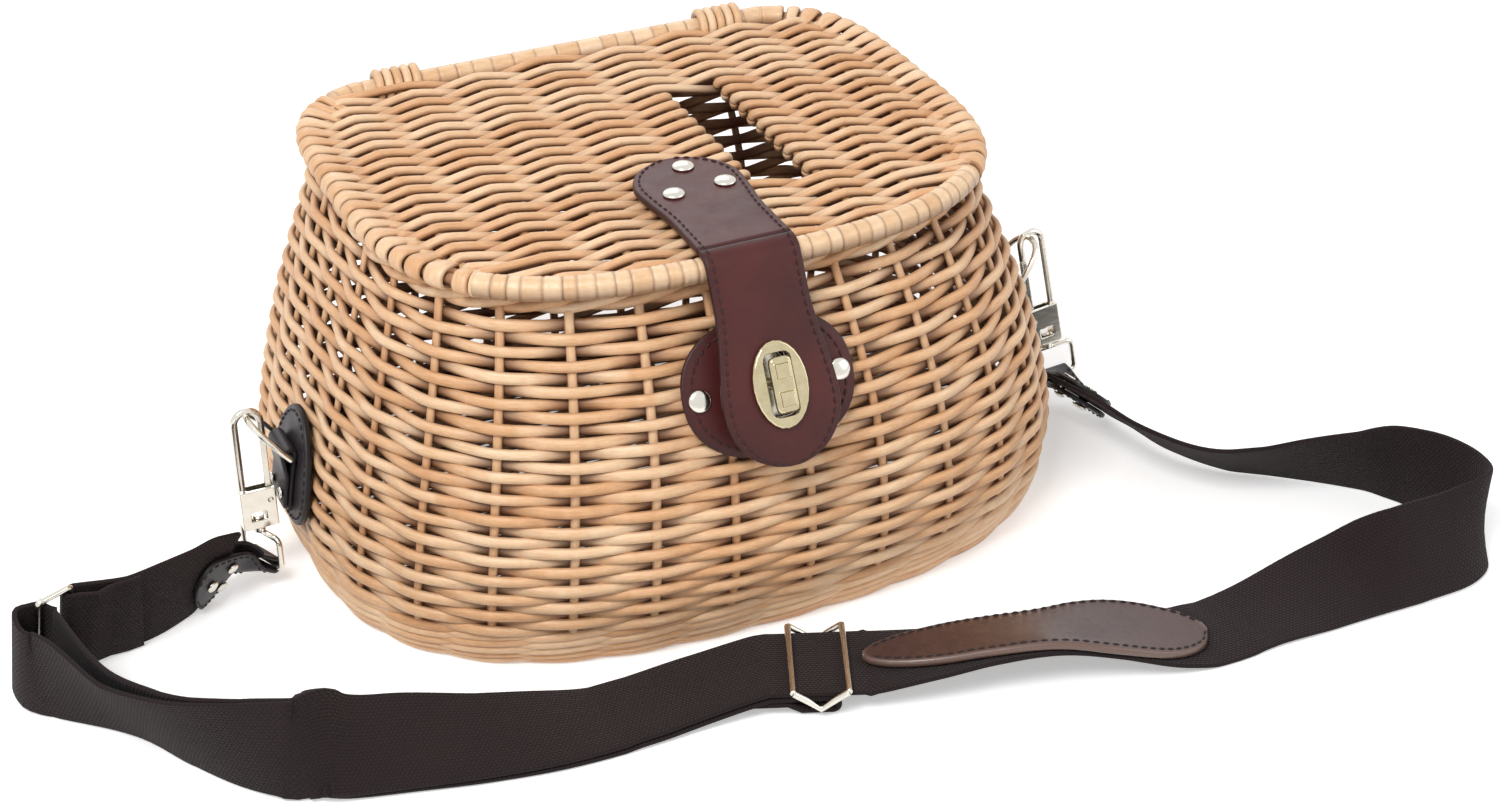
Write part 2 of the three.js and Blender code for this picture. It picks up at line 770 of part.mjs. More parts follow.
// Lid panel with the fish slot and room for the hinge loops
const panelInset = 2 * lidRodRadius + 2 * seatGap;
const panelShape = new THREE.Shape();
for (let i = 0; i < planSteps; i++) {
  const angle = (2 * Math.PI * (i + 0.5)) / planSteps;
  const p = inset(lidOutline, angle, panelInset);
  if (i === 0) panelShape.moveTo(p.x, p.y);
  else panelShape.lineTo(p.x, p.y);
}
const slotHoleHalf = slotWidth / 2 + 2 * slotRodRadius + seatGap;
const slotBack = slotY + slotLength / 2;
const slotFront = slotY - slotLength / 2;
const notchDepth = loopReach + loopRodRadius + 2 * runGap;
const notchHalf = loopWidth / 2 + 2 * runGap;
const lidRivetPoints = latchRivets.map(([x, y]) => V(x, y, lidTop + runGap + latchThickness));
const panelPlate = new THREE.ExtrudeGeometry(panelShape, { depth: lidPanelThickness, bevelEnabled: false });
panelPlate.translate(0, 0, panelFoot);

// Cutter for the woven top: rows along X that pass over the lid's stakes and behind them in turn
function weaveCutter() {
  const endX = lidHalfLength - lidRodRadius;
  const slotRodX = slotWidth / 2 + slotRodRadius;
  const stakes = [
    ...lidStakeShares.map((share) => share * lidHalfLength), slotX - slotRodX, slotX + slotRodX,
  ].sort((a, b) => a - b);
  const xs = [-endX - overrun, -endX, ...stakes, endX, endX + overrun];
  const front = lidCentreY - lidFrontDepth + panelInset;
  const back = bodyBackFlat - panelInset;
  const ys = [front - overrun];
  for (let k = 0; k < lidRows; k++) ys.push(mix(front, back, (k + 0.5) / lidRows));
  ys.push(back + overrun);
  const rings = xs.map((x, i) => {
    const top = panelTop + overrun;
    const line = ys.map((y, k) => {
      const edge = i === 0 || i === xs.length - 1 || k === 0 || k === ys.length - 1;
      const depth = edge ? lidWeaveDepth / 2 : passesOver(i, k + 1) ? 0 : lidWeaveDepth;
      return V(x, y, panelTop - depth);
    });
    return [V(x, ys[0], top), ...line, V(x, ys.at(-1), top)];
  });
  return skin(rings, false, passesOver);
}
const panelCuts = [
  weaveCutter(),
  box(slotX - slotHoleHalf, slotX + slotHoleHalf, slotFront, slotBack, panelFoot - overrun, panelTop + overrun),
];
for (const x of [-hingeX, hingeX]) {
  const back = hingeY + overrun;
  panelCuts.push(box(x - notchHalf, x + notchHalf, hingeY - notchDepth, back, panelFoot - overrun, panelTop + overrun));
}
for (const p of lidRivetPoints) panelCuts.push(drill(p, up, lidTop - panelFoot + latchThickness));
add("lid_panel", cut(panelPlate, panelCuts), willow);

for (const [side, sign] of [["left", -1], ["right", 1]]) {
  const x = slotX + sign * (slotWidth / 2 + slotRodRadius);
  const points = [V(x, slotFront + seatGap, lidRodZ), V(x, slotBack - seatGap, lidRodZ)];
  add(`slot_rod_${side}`, tube(points, slotRodRadius, 10, false, up), willow);
}

// Latch frame: the leather turns round the lid's front rod and hangs along the wall
const frontRodY = lidCentreY - lidFrontDepth + lidRodRadius;
const bendCentre = V(latchX, frontRodY, lidRodZ);
const bendRadius = lidRodRadius + runGap + latchThickness / 2;
const lockWallZ = rimHeight - lockFall;
const lockNormal = normalOf(frontPoint, latchX, lockWallZ).setX(0).normalize();
const lockUp = V(0, lockNormal.z, -lockNormal.y);
const flapStart = along(bendCentre, lockNormal, bendRadius);
const flapAt = (s) => along(flapStart, lockUp, -s);
const lockCentre = flapAt(lockDrop);
const strapZ = lidRodZ + bendRadius;

// Upper leather on the lid, with a wide rounded head
const strapStations = [];
const headSteps = 8;
for (let i = 0; i <= headSteps; i++) {
  const w = (Math.PI / 2) * (i / headSteps);
  const reach = latchHeadHalf * (1 - Math.cos(w));
  const half = Math.max(latchHeadHalf * Math.sin(w), latchHeadHalf * tipShare);
  strapStations.push({ y: latchHeadY - reach, half });
}
const neckSteps = 6;
for (let i = 1; i <= neckSteps; i++) {
  const t = i / neckSteps;
  const start = latchHeadY - latchHeadHalf;
  strapStations.push({
    y: mix(start, latchNeckY, t),
    half: mix(latchHeadHalf, latchWaistHalf, t * t * (3 - 2 * t)),
  });
}
strapStations.push({ y: frontRodY + seatGap, half: latchWaistHalf });
const strapLeather = ribbon(strapStations.map(({ y, half }) => ({
  p: V(latchX, y, strapZ), w: right, n: up, half,
})), latchThickness);
add("latch_strap", cut(strapLeather, lidRivetPoints.map((p) => drill(p, up, latchThickness))), latchLeather);
lidRivetPoints.forEach((p, i) => {
  const seat = V(p.x, p.y, strapZ + latchThickness / 2 + seatGap / 2);
  const grip = seat.z - panelFoot + seatGap / 2;
  add(`latch_rivet_${i + 1}`, rivet(seat, up, grip, rivetHeadRadius, rivetHeadHeight), nickel);
});

// Flap: the bend, then the straight fall with its round lobe
const lobeCentre = flapDrop - latchLobeHalf;
function flapHalf(s) {
  if (s > lobeCentre) {
    const d = (s - lobeCentre) / latchLobeHalf;
    return latchLobeHalf * Math.max(Math.sqrt(Math.max(1 - d * d, 0)), tipShare);
  }
  const t = THREE.MathUtils.clamp((s - lobeCentre / 4) / (lobeCentre * 0.75), 0, 1);
  return mix(latchWaistHalf, latchLobeHalf, t * t * (3 - 2 * t));
}
const bendAngle = Math.acos(lockNormal.z);
const flapStations = [];
const bendSteps = 6;
for (let i = 0; i <= bendSteps; i++) {
  const w = bendAngle * (i / bendSteps);
  const n = V(0, -Math.sin(w), Math.cos(w));
  flapStations.push({ p: along(bendCentre, n, bendRadius), w: right, n, half: latchWaistHalf });
}
const fallSteps = 8;
for (let i = 1; i <= fallSteps; i++) {
  const s = lobeCentre * (i / fallSteps);
  flapStations.push({ p: flapAt(s), w: right, n: lockNormal, half: flapHalf(s) });
}
for (let i = 1; i <= headSteps; i++) {
  const s = lobeCentre + latchLobeHalf * Math.sin((Math.PI / 2) * (i / headSteps));
  flapStations.push({ p: flapAt(s), w: right, n: lockNormal, half: flapHalf(s) });
}

// Turn lock pieces are drawn flat and then stood on the flap
const lockMatrix = (offset) => standing(along(lockCentre, lockNormal, offset), lockNormal, right);
function ovalShape(halfWidth, halfHeight) {
  const shape = new THREE.Shape();
  shape.absellipse(0, 0, halfWidth, halfHeight, 0, 2 * Math.PI);
  return shape;
}
function extruded(shape, depth, bevel, steps = 12) {
  return new THREE.ExtrudeGeometry(shape, {
    depth: depth - 2 * bevel,
    bevelEnabled: bevel > 0,
    bevelThickness: bevel,
    bevelSize: bevel,
    bevelOffset: -bevel,
    bevelSegments: 1,
    curveSegments: steps,
  }).translate(0, 0, bevel);
}
const slotHalfX = buttonWidth / 2 + slotClearX;
const slotHalfZ = buttonLength / 2 + slotClearZ;
function roundedSlot(halfX, halfZ, shape) {
  const r = halfX * slotRoundShare;
  shape.moveTo(-halfX + r, -halfZ);
  shape.lineTo(halfX - r, -halfZ).quadraticCurveTo(halfX, -halfZ, halfX, -halfZ + r);
  shape.lineTo(halfX, halfZ - r).quadraticCurveTo(halfX, halfZ, halfX - r, halfZ);
  shape.lineTo(-halfX + r, halfZ).quadraticCurveTo(-halfX, halfZ, -halfX, halfZ - r);
  shape.lineTo(-halfX, -halfZ + r).quadraticCurveTo(-halfX, -halfZ, -halfX + r, -halfZ);
  return shape;
}
const slotCutter = (grow) => extruded(
  roundedSlot(slotHalfX + grow, slotHalfZ + grow, new THREE.Shape()), 4 * overrun, 0, 4,
).translate(0, 0, -2 * overrun);

const flapLeather = ribbon(flapStations, latchThickness);
const leatherSlot = slotCutter(seatGap).applyMatrix4(lockMatrix(0));
add("latch_flap", cut(flapLeather, [leatherSlot]), latchLeather);

const face = latchThickness / 2 + seatGap;
const plate = cut(extruded(ovalShape(plateHalfWidth, plateHalfHeight), plateThickness, plateBevel), [slotCutter(0)]);
add("lock_plate", plate.applyMatrix4(lockMatrix(face)), paleBrass);

const washerOuter = extruded(
  ovalShape(plateHalfWidth - backPlateRim, plateHalfHeight - backPlateRim), backPlateThickness, 0,
);
const washer = cut(washerOuter, [slotCutter(0)]);
add("lock_back_plate", washer.applyMatrix4(lockMatrix(-face - backPlateThickness)), nickel);

// Turn button: post and pin, bar, two square facets
const wallOffset = lockCentre.clone().sub(frontPoint(latchX, lockWallZ)).dot(lockNormal);
const patchFace = seatGap + patchThickness;
const lockSpot = along(lockCentre, lockNormal, -wallOffset);
const barFoot = face + plateThickness + runGap;
const bar = extruded(
  roundedSlot(buttonWidth / 2, buttonLength / 2, new THREE.Shape()), buttonThickness, plateBevel, 3,
).translate(0, 0, barFoot);
const facets = [-1, 1].map((sign) => {
  const r = facetSize / Math.SQRT2;
  const g = new THREE.CylinderGeometry(r * facetTaper, r, 2 * facetHeight, 4);
  g.rotateY(Math.PI / 4).rotateX(Math.PI / 2);
  return g.translate(0, (sign * buttonLength) / 4, barFoot + buttonThickness);
});
const plateSeat = patchFace + seatGap + lockBaseThickness - wallOffset;
const postFoot = plateSeat + seatGap;
const pinFoot = postFoot - lockBaseThickness - 2 * seatGap - patchThickness / 2;
const post = rod(V(0, 0, 0), up, postRadius, postFoot, barFoot + buttonThickness / 2, 14);
const pin = rod(V(0, 0, 0), up, pinRadius, pinFoot, postFoot + postRadius, 14);
add("turn_button", join([bar, ...facets, post, pin]).applyMatrix4(lockMatrix(0)), paleBrass);

const lockBase = cut(extruded(ovalShape(lockBaseHalfWidth, lockBaseHalfHeight), lockBaseThickness, 0), [
  rod(V(0, 0, 0), up, pinRadius + drillGap, -overrun, overrun, 14),
]);
add("lock_base", lockBase.applyMatrix4(lockMatrix(plateSeat - lockBaseThickness)), nickel);

// Backing patch on the wall, with an eared end each side of the flap
const wallCuts = [];
const patchRivets = [-1, 1].map((sign) => {
  const x = latchX + sign * patchRivetX;
  const n = normalOf(frontPoint, x, lockWallZ);
  return { point: frontPoint(x, lockWallZ), n };
});
const patchCuts = patchRivets.map(({ point, n }) => drill(point, n, wallThickness));
patchCuts.push(rod(lockSpot, lockNormal, pinRadius + drillGap, -overrun, 2 * overrun, 14));
const patch = patchSolid(
  frontPoint, latchX, lockWallZ, patchHalfWidth, patchHalfHeight, patchPower, patchThickness, () => 1,
);
add("lock_patch", cut(patch, patchCuts), latchLeather);
patchRivets.forEach(({ point, n }, i) => {
  wallCuts.push(drill(point, n, wallThickness));
  const grip = wallThickness + patchFace + 3 * seatGap;
  const seat = along(point, n, patchFace + seatGap);
  add(`patch_rivet_${i + 1}`, rivet(seat, n, grip, rivetHeadRadius, rivetHeadHeight), nickel);
});

// End hardware, drawn for the right end and mirrored for the left
function mirrored(geometry, sign) {
  if (sign > 0) return geometry;
  const g = plain(geometry);
  g.applyMatrix4(new THREE.Matrix4().makeScale(-1, 1, 1));
  return outward(g);
}
const endX = (z) => sidePoint(0, z).x;
const across = V(0, 1, 0);
const endNormal = normalOf(sidePoint, 0, keeperRivetZ).setY(0).normalize();
const keeperIn = patchFace + seatGap + keeperThickness / 2;
const keeperTurn = ringWire + runGap + keeperThickness / 2;
const keeperClose = keeperIn + keeperThickness + seatGap;
const barX = endX(ringBarZ) + keeperIn + keeperTurn;
const hookX = barX + hookReach;

// Leather keeper: up the wall, round the bar of the dee ring and down over itself
function keeperStations() {
  const points = [];
  const legSteps = 5;
  for (let i = 0; i <= legSteps; i++) {
    const z = mix(keeperFoot, ringBarZ, i / legSteps);
    points.push(V(endX(z) + keeperIn, 0, z));
  }
  const turnSteps = 8;
  for (let i = 1; i <= turnSteps; i++) {
    const w = Math.PI * (1 - i / turnSteps);
    points.push(V(barX + keeperTurn * Math.cos(w), 0, ringBarZ + keeperTurn * Math.sin(w)));
  }
  const halfDrop = ringBarZ - keeperPinch / 2;
  const spread = mix(keeperIn + 2 * keeperTurn, keeperClose, 0.5);
  points.push(V(endX(halfDrop) + spread, 0, halfDrop));
  for (const share of [0, 0.5, 1]) {
    const z = mix(ringBarZ - keeperPinch, keeperFoot + keeperThickness, share);
    points.push(V(endX(z) + keeperClose, 0, z));
  }
  return points.map((p, i) => {
    const a = points[Math.max(i - 1, 0)];
    const b = points[Math.min(i + 1, points.length - 1)];
    const t = b.clone().sub(a).normalize();
    return { p, w: across, n: V(t.z, 0, -t.x), half: keeperHalfWidth };
  });
}
const keeperFace = keeperClose + keeperThickness / 2;
const keeperRivets = [-1, 1].map((s) => V(endX(keeperRivetZ), s * keeperRivetY, keeperRivetZ));
const pear = (t) => pearShares[0] + pearShares[1] * t + pearShares[2] * t * t;

// Dee ring: straight bar in the keeper, round arch above it
const crownWireZ = hookCrownZ + hookHalfWidth - hookWire - seatGap - ringWire;
function deePath() {
  const lean = V(hookX - barX, 0, crownWireZ - ringBarZ);
  const reach = lean.length();
  lean.normalize();
  const points = [];
  const barSteps = 4;
  const archSteps = 12;
  const centre = V(barX, 0, ringBarZ);
  for (let i = 0; i < barSteps; i++) {
    points.push(along(centre, across, mix(-ringHalfWidth, ringHalfWidth, i / barSteps)));
  }
  for (let i = 0; i < archSteps; i++) {
    const w = (Math.PI * i) / archSteps;
    const y = ringHalfWidth * Math.sign(Math.cos(w)) * Math.abs(Math.cos(w)) ** ringRoundShare;
    points.push(along(along(centre, across, y), lean, reach * Math.sin(w) ** ringRoundShare));
  }
  return points;
}

// Snap hook: crown and spine of round wire on a forked block
function hookSolid() {
  const crownSteps = 10;
  const points = [
    V(hookX + hookHalfWidth, 0, hookBlockTop - hookWire),
    V(hookX + hookHalfWidth, 0, mix(hookBlockTop, hookCrownZ, 0.5)),
  ];
  for (let i = 0; i <= crownSteps; i++) {
    const w = (Math.PI * i) / crownSteps;
    points.push(V(hookX + hookHalfWidth * Math.cos(w), 0, hookCrownZ + hookHalfWidth * Math.sin(w)));
  }
  points.push(V(hookX - hookHalfWidth, 0, hookNoseZ));
  const wire = tube(points, hookWire, 8, false, across);
  const inner = hookX - hookHalfWidth - gateKnuckle;
  const outer = hookX + hookHalfWidth + hookWire;
  const d = hookBlockHalfDepth;
  const block = box(inner, outer, -d, d, hookBlockFoot, hookBlockTop);
  const slot = gateHalfDepth + runGap;
  const windowFoot = hookBlockFoot + hookFootThickness;
  const pivot = V(hookX - hookHalfWidth, 0, gatePivotZ);
  return cut(join([wire, block]), [
    box(hookX - hookWindowHalf, hookX + hookWindowHalf, -2 * d, 2 * d, windowFoot, hookWindowTop),
    box(inner - overrun, hookX + hookHalfWidth - hookWire, -slot, slot,
      gatePivotZ - gateKnuckle - runGap, hookBlockTop + overrun),
    rod(V(hookX, 0, 0), up, stemRadius + runGap, hookBlockFoot - overrun, windowFoot + stemHeadHeight, 12),
    rod(pivot, across, gatePinRadius + gatePinGap, -2 * d, 2 * d, 12),
  ]);
}

function gateSolid() {
  const x = hookX - hookHalfWidth;
  const pivot = V(x, 0, gatePivotZ);
  const knuckle = rod(pivot, across, gateKnuckle, -gateHalfDepth, gateHalfDepth, 14);
  const top = hookNoseZ - runGap;
  const arm = box(x - gateHalfWidth, x + gateHalfWidth, -gateHalfDepth, gateHalfDepth, gatePivotZ, top);
  const hole = rod(pivot, across, gatePinRadius + gatePinGap, -overrun, overrun, 12);
  return cut(join([knuckle, arm]), [hole]);
}

function gatePin() {
  const reach = hookBlockHalfDepth;
  return rod(V(hookX - hookHalfWidth, 0, gatePivotZ), across, gatePinRadius, -reach, reach, 12);
}

// Swivel eye: headed stem over a rectangular wire loop, turned to face its tab
function eyeSolid(heading) {
  const r = 2 * eyeWire;
  const corners = [
    [-eyeHalfWidth, eyeBarZ, Math.PI],
    [eyeHalfWidth, eyeBarZ, 1.5 * Math.PI],
    [eyeHalfWidth, eyeTopZ, 0],
    [-eyeHalfWidth, eyeTopZ, 0.5 * Math.PI],
  ];
  const points = [];
  for (const [y, z, start] of corners) {
    const cy = y - Math.sign(y) * r;
    const cz = z === eyeBarZ ? z + r : z - r;
    for (let i = 0; i <= 3; i++) {
      const w = start + (Math.PI / 2) * (i / 3);
      points.push(V(0, cy + r * Math.cos(w), cz + r * Math.sin(w)));
    }
  }
  const loop = tube(points, eyeWire, 8, true, right);
  const headZ = hookBlockFoot + hookFootThickness + seatGap;
  const origin = V(0, 0, 0);
  const stem = rod(origin, up, stemRadius, eyeTopZ, headZ + stemHeadHeight / 2, 12);
  const head = rod(origin, up, stemHead, headZ, headZ + stemHeadHeight, 12);
  const collar = rod(origin, up, stemHead, eyeTopZ, hookBlockFoot - seatGap, 12);
  return join([loop, stem, head, collar]).rotateZ(heading);
}

// How each hook hangs: the left one straight, the right one out and forward
function hangMatrix(sign) {
  const crown = V(sign * hookX, 0, hookCrownZ);
  const [out, forward] = sign > 0 ? rightHangShares : [0, 0];
  const axis = V(-out, forward, 1);
  return standing(crown, axis, right).multiply(
    new THREE.Matrix4().makeTranslation(-crown.x, -crown.y, -crown.z),
  );
}

// Strap: stations with a middle p and a direction w across the webbing
const webHalf = webbingWidth / 2;
const strapSpread = hookX + strapOut;
// A share of the strap's reach, measured so that the basket's own reach keeps its share
function reached(share, own, ownShare, reach) {
  const size = Math.abs(share);
  const inside = (own * size) / ownShare;
  const beyond = own + ((reach - own) * (size - ownShare)) / (1 - ownShare);
  return Math.sign(share) * (size < ownShare ? inside : beyond);
}
const strapAt = (x, y) => V(
  reached(x, hookX, hookShare, strapSpread), reached(y, bodyFrontDepth, frontShare, strapFront), 0,
);
function fromShares(rows) {
  return rows.map(([x, y, z, a, b, c]) => ({
    p: strapAt(x, y).setZ(z * webbingWidth),
    w: V(a, b, c).normalize(),
  }));
}

// Smooth curves through the stations, sampled closer where the run turns
function smoothRun(stations) {
  const line = new THREE.CatmullRomCurve3(stations.map((s) => s.p), false, "centripetal");
  const turning = new THREE.CatmullRomCurve3(stations.map((s) => s.w), false, "centripetal");
  const count = Math.round(line.getLength() / webFineStep);
  const fine = Array.from({ length: count + 1 }, (_, i) => {
    const t = line.getUtoTmapping(i / count);
    const w = turning.getPoint(t).normalize();
    return { p: line.getPoint(t), t: line.getTangent(t), w, half: webHalf };
  });
  const kept = [fine[0]];
  for (let i = 1; i < count; i++) {
    const last = kept.at(-1);
    const bend = fine[i].t.angleTo(last.t) + 2 * fine[i].w.angleTo(last.w);
    if (bend > webTurn || fine[i].p.distanceTo(last.p) > webStep) kept.push(fine[i]);
  }
  if (kept.at(-1).p.distanceTo(fine[count].p) < webFineStep) kept.pop();
  return [...kept, fine[count]];
}

// Normals from the run itself; the direction across is squared to it
function dressed(run) {
  return run.map((s, i) => {
    const a = run[Math.max(i - 1, 0)].p;
    const b = run[Math.min(i + 1, run.length - 1)].p;
    const t = b.clone().sub(a).normalize();
    const w = along(s.w, t, -s.w.dot(t)).normalize();
    return { ...s, t, w, n: t.clone().cross(w).normalize() };
  });
}

// Lift a run where its lower edge would go under the ground
function grounded(run, below) {
  return dressed(run).map((s) => {
    const sink = Math.abs(s.w.z) * s.half + Math.abs(s.n.z) * webbingThickness / 2;
    const under = Math.max(s.n.z, 0) * below;
    const lift = Math.max(groundGap + sink + under - s.p.z, 0);
    return { ...s, p: along(s.p, up, lift) };
  });
}

// Adjusting ring: upright rectangular wire loop between the two webbings
const [ringX, ringY, dirX, dirY, ...ringLean] = ringShares;
const ringDir = V(dirX, dirY, 0).normalize();
const ringW = V(...ringLean);
ringW.addScaledVector(ringDir, -ringW.dot(ringDir)).normalize();
const ringHalfHeight = webHalf + ringEdgeGap + ringSlotWire;
const ringCentre = strapAt(ringX, ringY);
ringCentre.z = ringHalfHeight * ringW.z + ringSlotWire + groundGap;
function adjustRing() {
  const corners = [
    [-ringSlotHalf, -ringHalfHeight, Math.PI],
    [ringSlotHalf, -ringHalfHeight, 1.5 * Math.PI],
    [ringSlotHalf, ringHalfHeight, 0],
    [-ringSlotHalf, ringHalfHeight, 0.5 * Math.PI],
  ];
  const points = [];
  for (const [s, h, start] of corners) {
    const cs = s - Math.sign(s) * ringSlotRound;
    const ch = h - Math.sign(h) * ringSlotRound;
    for (let i = 0; i <= 3; i++) {
      const w = start + (Math.PI / 2) * (i / 3);
      const along1 = along(ringCentre, ringDir, cs + ringSlotRound * Math.cos(w));
      points.push(along(along1, ringW, ch + ringSlotRound * Math.sin(w)));
    }
  }
  return tube(points, ringSlotWire, 8, true, ringDir.clone().cross(ringW));
}
add("adjust_ring", adjustRing(), nickel);
const ringBar = (side) => along(ringCentre, ringDir, side * ringSlotHalf);
const ringSide = ringDir.clone().cross(ringW);
const barTurn = ringSlotWire + runGap + seatGap + webbingThickness / 2;
const atRing = (bar, dir, side) => {
  const p = along(along(bar, ringDir, dir * barTurn), ringSide, side * barTurn);
  return { p, w: ringW.clone(), half: webHalf };
};

// Slide frame on the long webbing
const slideAt = strapAt(slideShares[0], slideShares[1]).setZ(slideLift);
const slideT = V(slideShares[2], slideShares[3], 0).normalize();
const slideW = V(-slideT.y, slideT.x, 0);
const barLift = webbingThickness / 2 + runGap + slideWire;
const innerDrop = webbingThickness + seatGap;
const centreBarDrop = innerDrop + barLift;
const slideFlat = slideHalfLength + slideWire + slideTravel + runGap;
const onSlide = (s, h) => ({ p: along(along(slideAt, slideT, s), up, h), w: slideW, half: webHalf });

// Outer layer from the ring to the slide
const ringOuter = ringBar(-1);
const bow = (dir, side) => {
  const p = along(along(ringOuter, ringDir, dir * ringSlotHalf), ringSide, side * ringSlotHalf);
  return { p, w: ringW.clone(), half: webHalf };
};
const frontStations = fromShares(frontShares);
const outerStations = [
  atRing(ringOuter, 0, -1),
  bow(-0.9, -0.6),
  bow(-1.55, 0.7),
  bow(-1.1, 2.1),
  ...frontStations,
  onSlide(-slideFlat - slideApproach, 0),
  onSlide(-slideFlat, 0),
];
const outerRun = grounded(smoothRun(outerStations), layerGap);
const innerFrom = outerRun.findIndex((s) => s.p.x > frontStations[0].p.x);
const settle = 5;
const innerRun = outerRun.slice(innerFrom).map((s, i) => ({
  ...s,
  p: along(s.p, s.n, -mix(layerGap + barTurn, layerGap, Math.min(i / settle, 1))),
}));
const innerAtRing = [atRing(ringOuter, 1.15, 0.4), atRing(ringOuter, 1.4, 2.2)];
const innerToRing = smoothRun([atRing(ringOuter, Math.SQRT1_2, -Math.SQRT1_2), ...innerAtRing, ...innerRun.slice(0, 2)]);

// Loop of the sewn end round the slide's centre bar, with free run for the slide
const loopBack = -slideTravel - barLift;
const tailDrop = centreBarDrop + barLift;
const loopEnd = [onSlide(loopBack, -innerDrop), onSlide(slideTravel, -innerDrop)];
const loopTurnSteps = 6;
for (let i = 1; i <= loopTurnSteps; i++) {
  const w = (Math.PI * i) / loopTurnSteps;
  loopEnd.push(onSlide(
    slideTravel + barLift * Math.sin(w), -centreBarDrop + barLift * Math.cos(w),
  ));
}
loopEnd.push(onSlide(loopBack, -tailDrop));
loopEnd.push(onSlide(loopBack - 2 * barLift, -2 * innerDrop - seatGap));
loopEnd.push(onSlide(loopBack - lapLength, -2 * innerDrop - seatGap));

// Straps' ends at the eyes
const eyeBars = {};
const leftPoints = fromShares(leftShares);
const rightPoints = fromShares(rightShares);
for (const [side, sign, next] of [["left", -1, leftPoints[0].p], ["right", 1, rightPoints.at(-1).p]]) {
  const m = hangMatrix(sign);
  const p = V(sign * hookX, 0, eyeBarZ).applyMatrix4(m);
  const out = next.clone().sub(p).transformDirection(m.clone().invert());
  const bar = V(-out.y, out.x, 0).normalize();
  eyeBars[side] = { m, p, bar, w: bar.clone().transformDirection(m).multiplyScalar(-sign) };
}
const leftStations = [
  eyeBars.left,
  ...leftPoints,
  atRing(ringBar(1), 0, -1),
];
const mainStations = [
  onSlide(slideFlat, 0),
  onSlide(slideFlat + slideApproach, 0),
  ...rightPoints,
  eyeBars.right,
];
const leftRun = grounded(smoothRun(leftStations), 0);
const mainRun = grounded(smoothRun(mainStations), 0);

// The part of a run from a distance along it, or up to it
function runLength(run) {
  const at = [0];
  for (let i = 1; i < run.length; i++) at.push(at[i - 1] + run[i].p.distanceTo(run[i - 1].p));
  return at;
}
function pointOn(run, distance) {
  const at = runLength(run);
  let i = 1;
  while (i < run.length - 1 && at[i] < distance) i++;
  const t = (distance - at[i - 1]) / (at[i] - at[i - 1]);
  const [a, b] = [run[i - 1], run[i]];
  const blend = (key) => a[key].clone().lerp(b[key], t);
  return { p: blend("p"), w: blend("w").normalize(), n: blend("n").normalize(), t: blend("t").normalize(), half: a.half };
}
function part(run, from, to, count) {
  return Array.from({ length: count + 1 }, (_, i) => pointOn(run, mix(from, to, i / count)));
}

// Leather tabs: folded round the eye bar, the webbing's end between their layers
const tabHalfGap = eyeWire + runGap + seatGap + tabThickness / 2;
function tabHalf(t) {
  const grow = THREE.MathUtils.smoothstep(t, ...tabNeckShares);
  const past = Math.max(t - tabRoundShare, 0) / (1 - tabRoundShare);
  const end = Math.sqrt(Math.max(1 - past ** 2, tabTipShare));
  return mix(tabTongueHalf, tabHeadHalf, grow) * end;
}
function tabSolid(run) {
  const layer = (side) => run.map((s) => ({
    ...s, p: along(s.p, s.n, side * tabHalfGap), n: s.n.clone().multiplyScalar(side),
  }));
  const first = run[0];
  const foldSteps = 6;
  const fold = [];
  for (let i = 1; i < foldSteps; i++) {
    const w = (Math.PI * i) / foldSteps;
    const out = first.n.clone().multiplyScalar(-Math.cos(w)).addScaledVector(first.t, -Math.sin(w));
    fold.push({ ...first, p: along(first.p, out, tabHalfGap), n: out });
  }
  return ribbon([...layer(-1).reverse(), ...fold, ...layer(1)], tabThickness);
}
const tabRivetShares = [[0.54, 0.45], [0.54, -0.45], [0.78, 0]];
const tabSteps = 14;
const reversedRun = (run) => dressed([...run].reverse());
const tabSides = {
  left: { sign: -1, run: leftRun, drop: tabDrop, outside: -1, cuts: [] },
  right: { sign: 1, run: reversedRun(mainRun), drop: 0, outside: 1, cuts: [] },
};
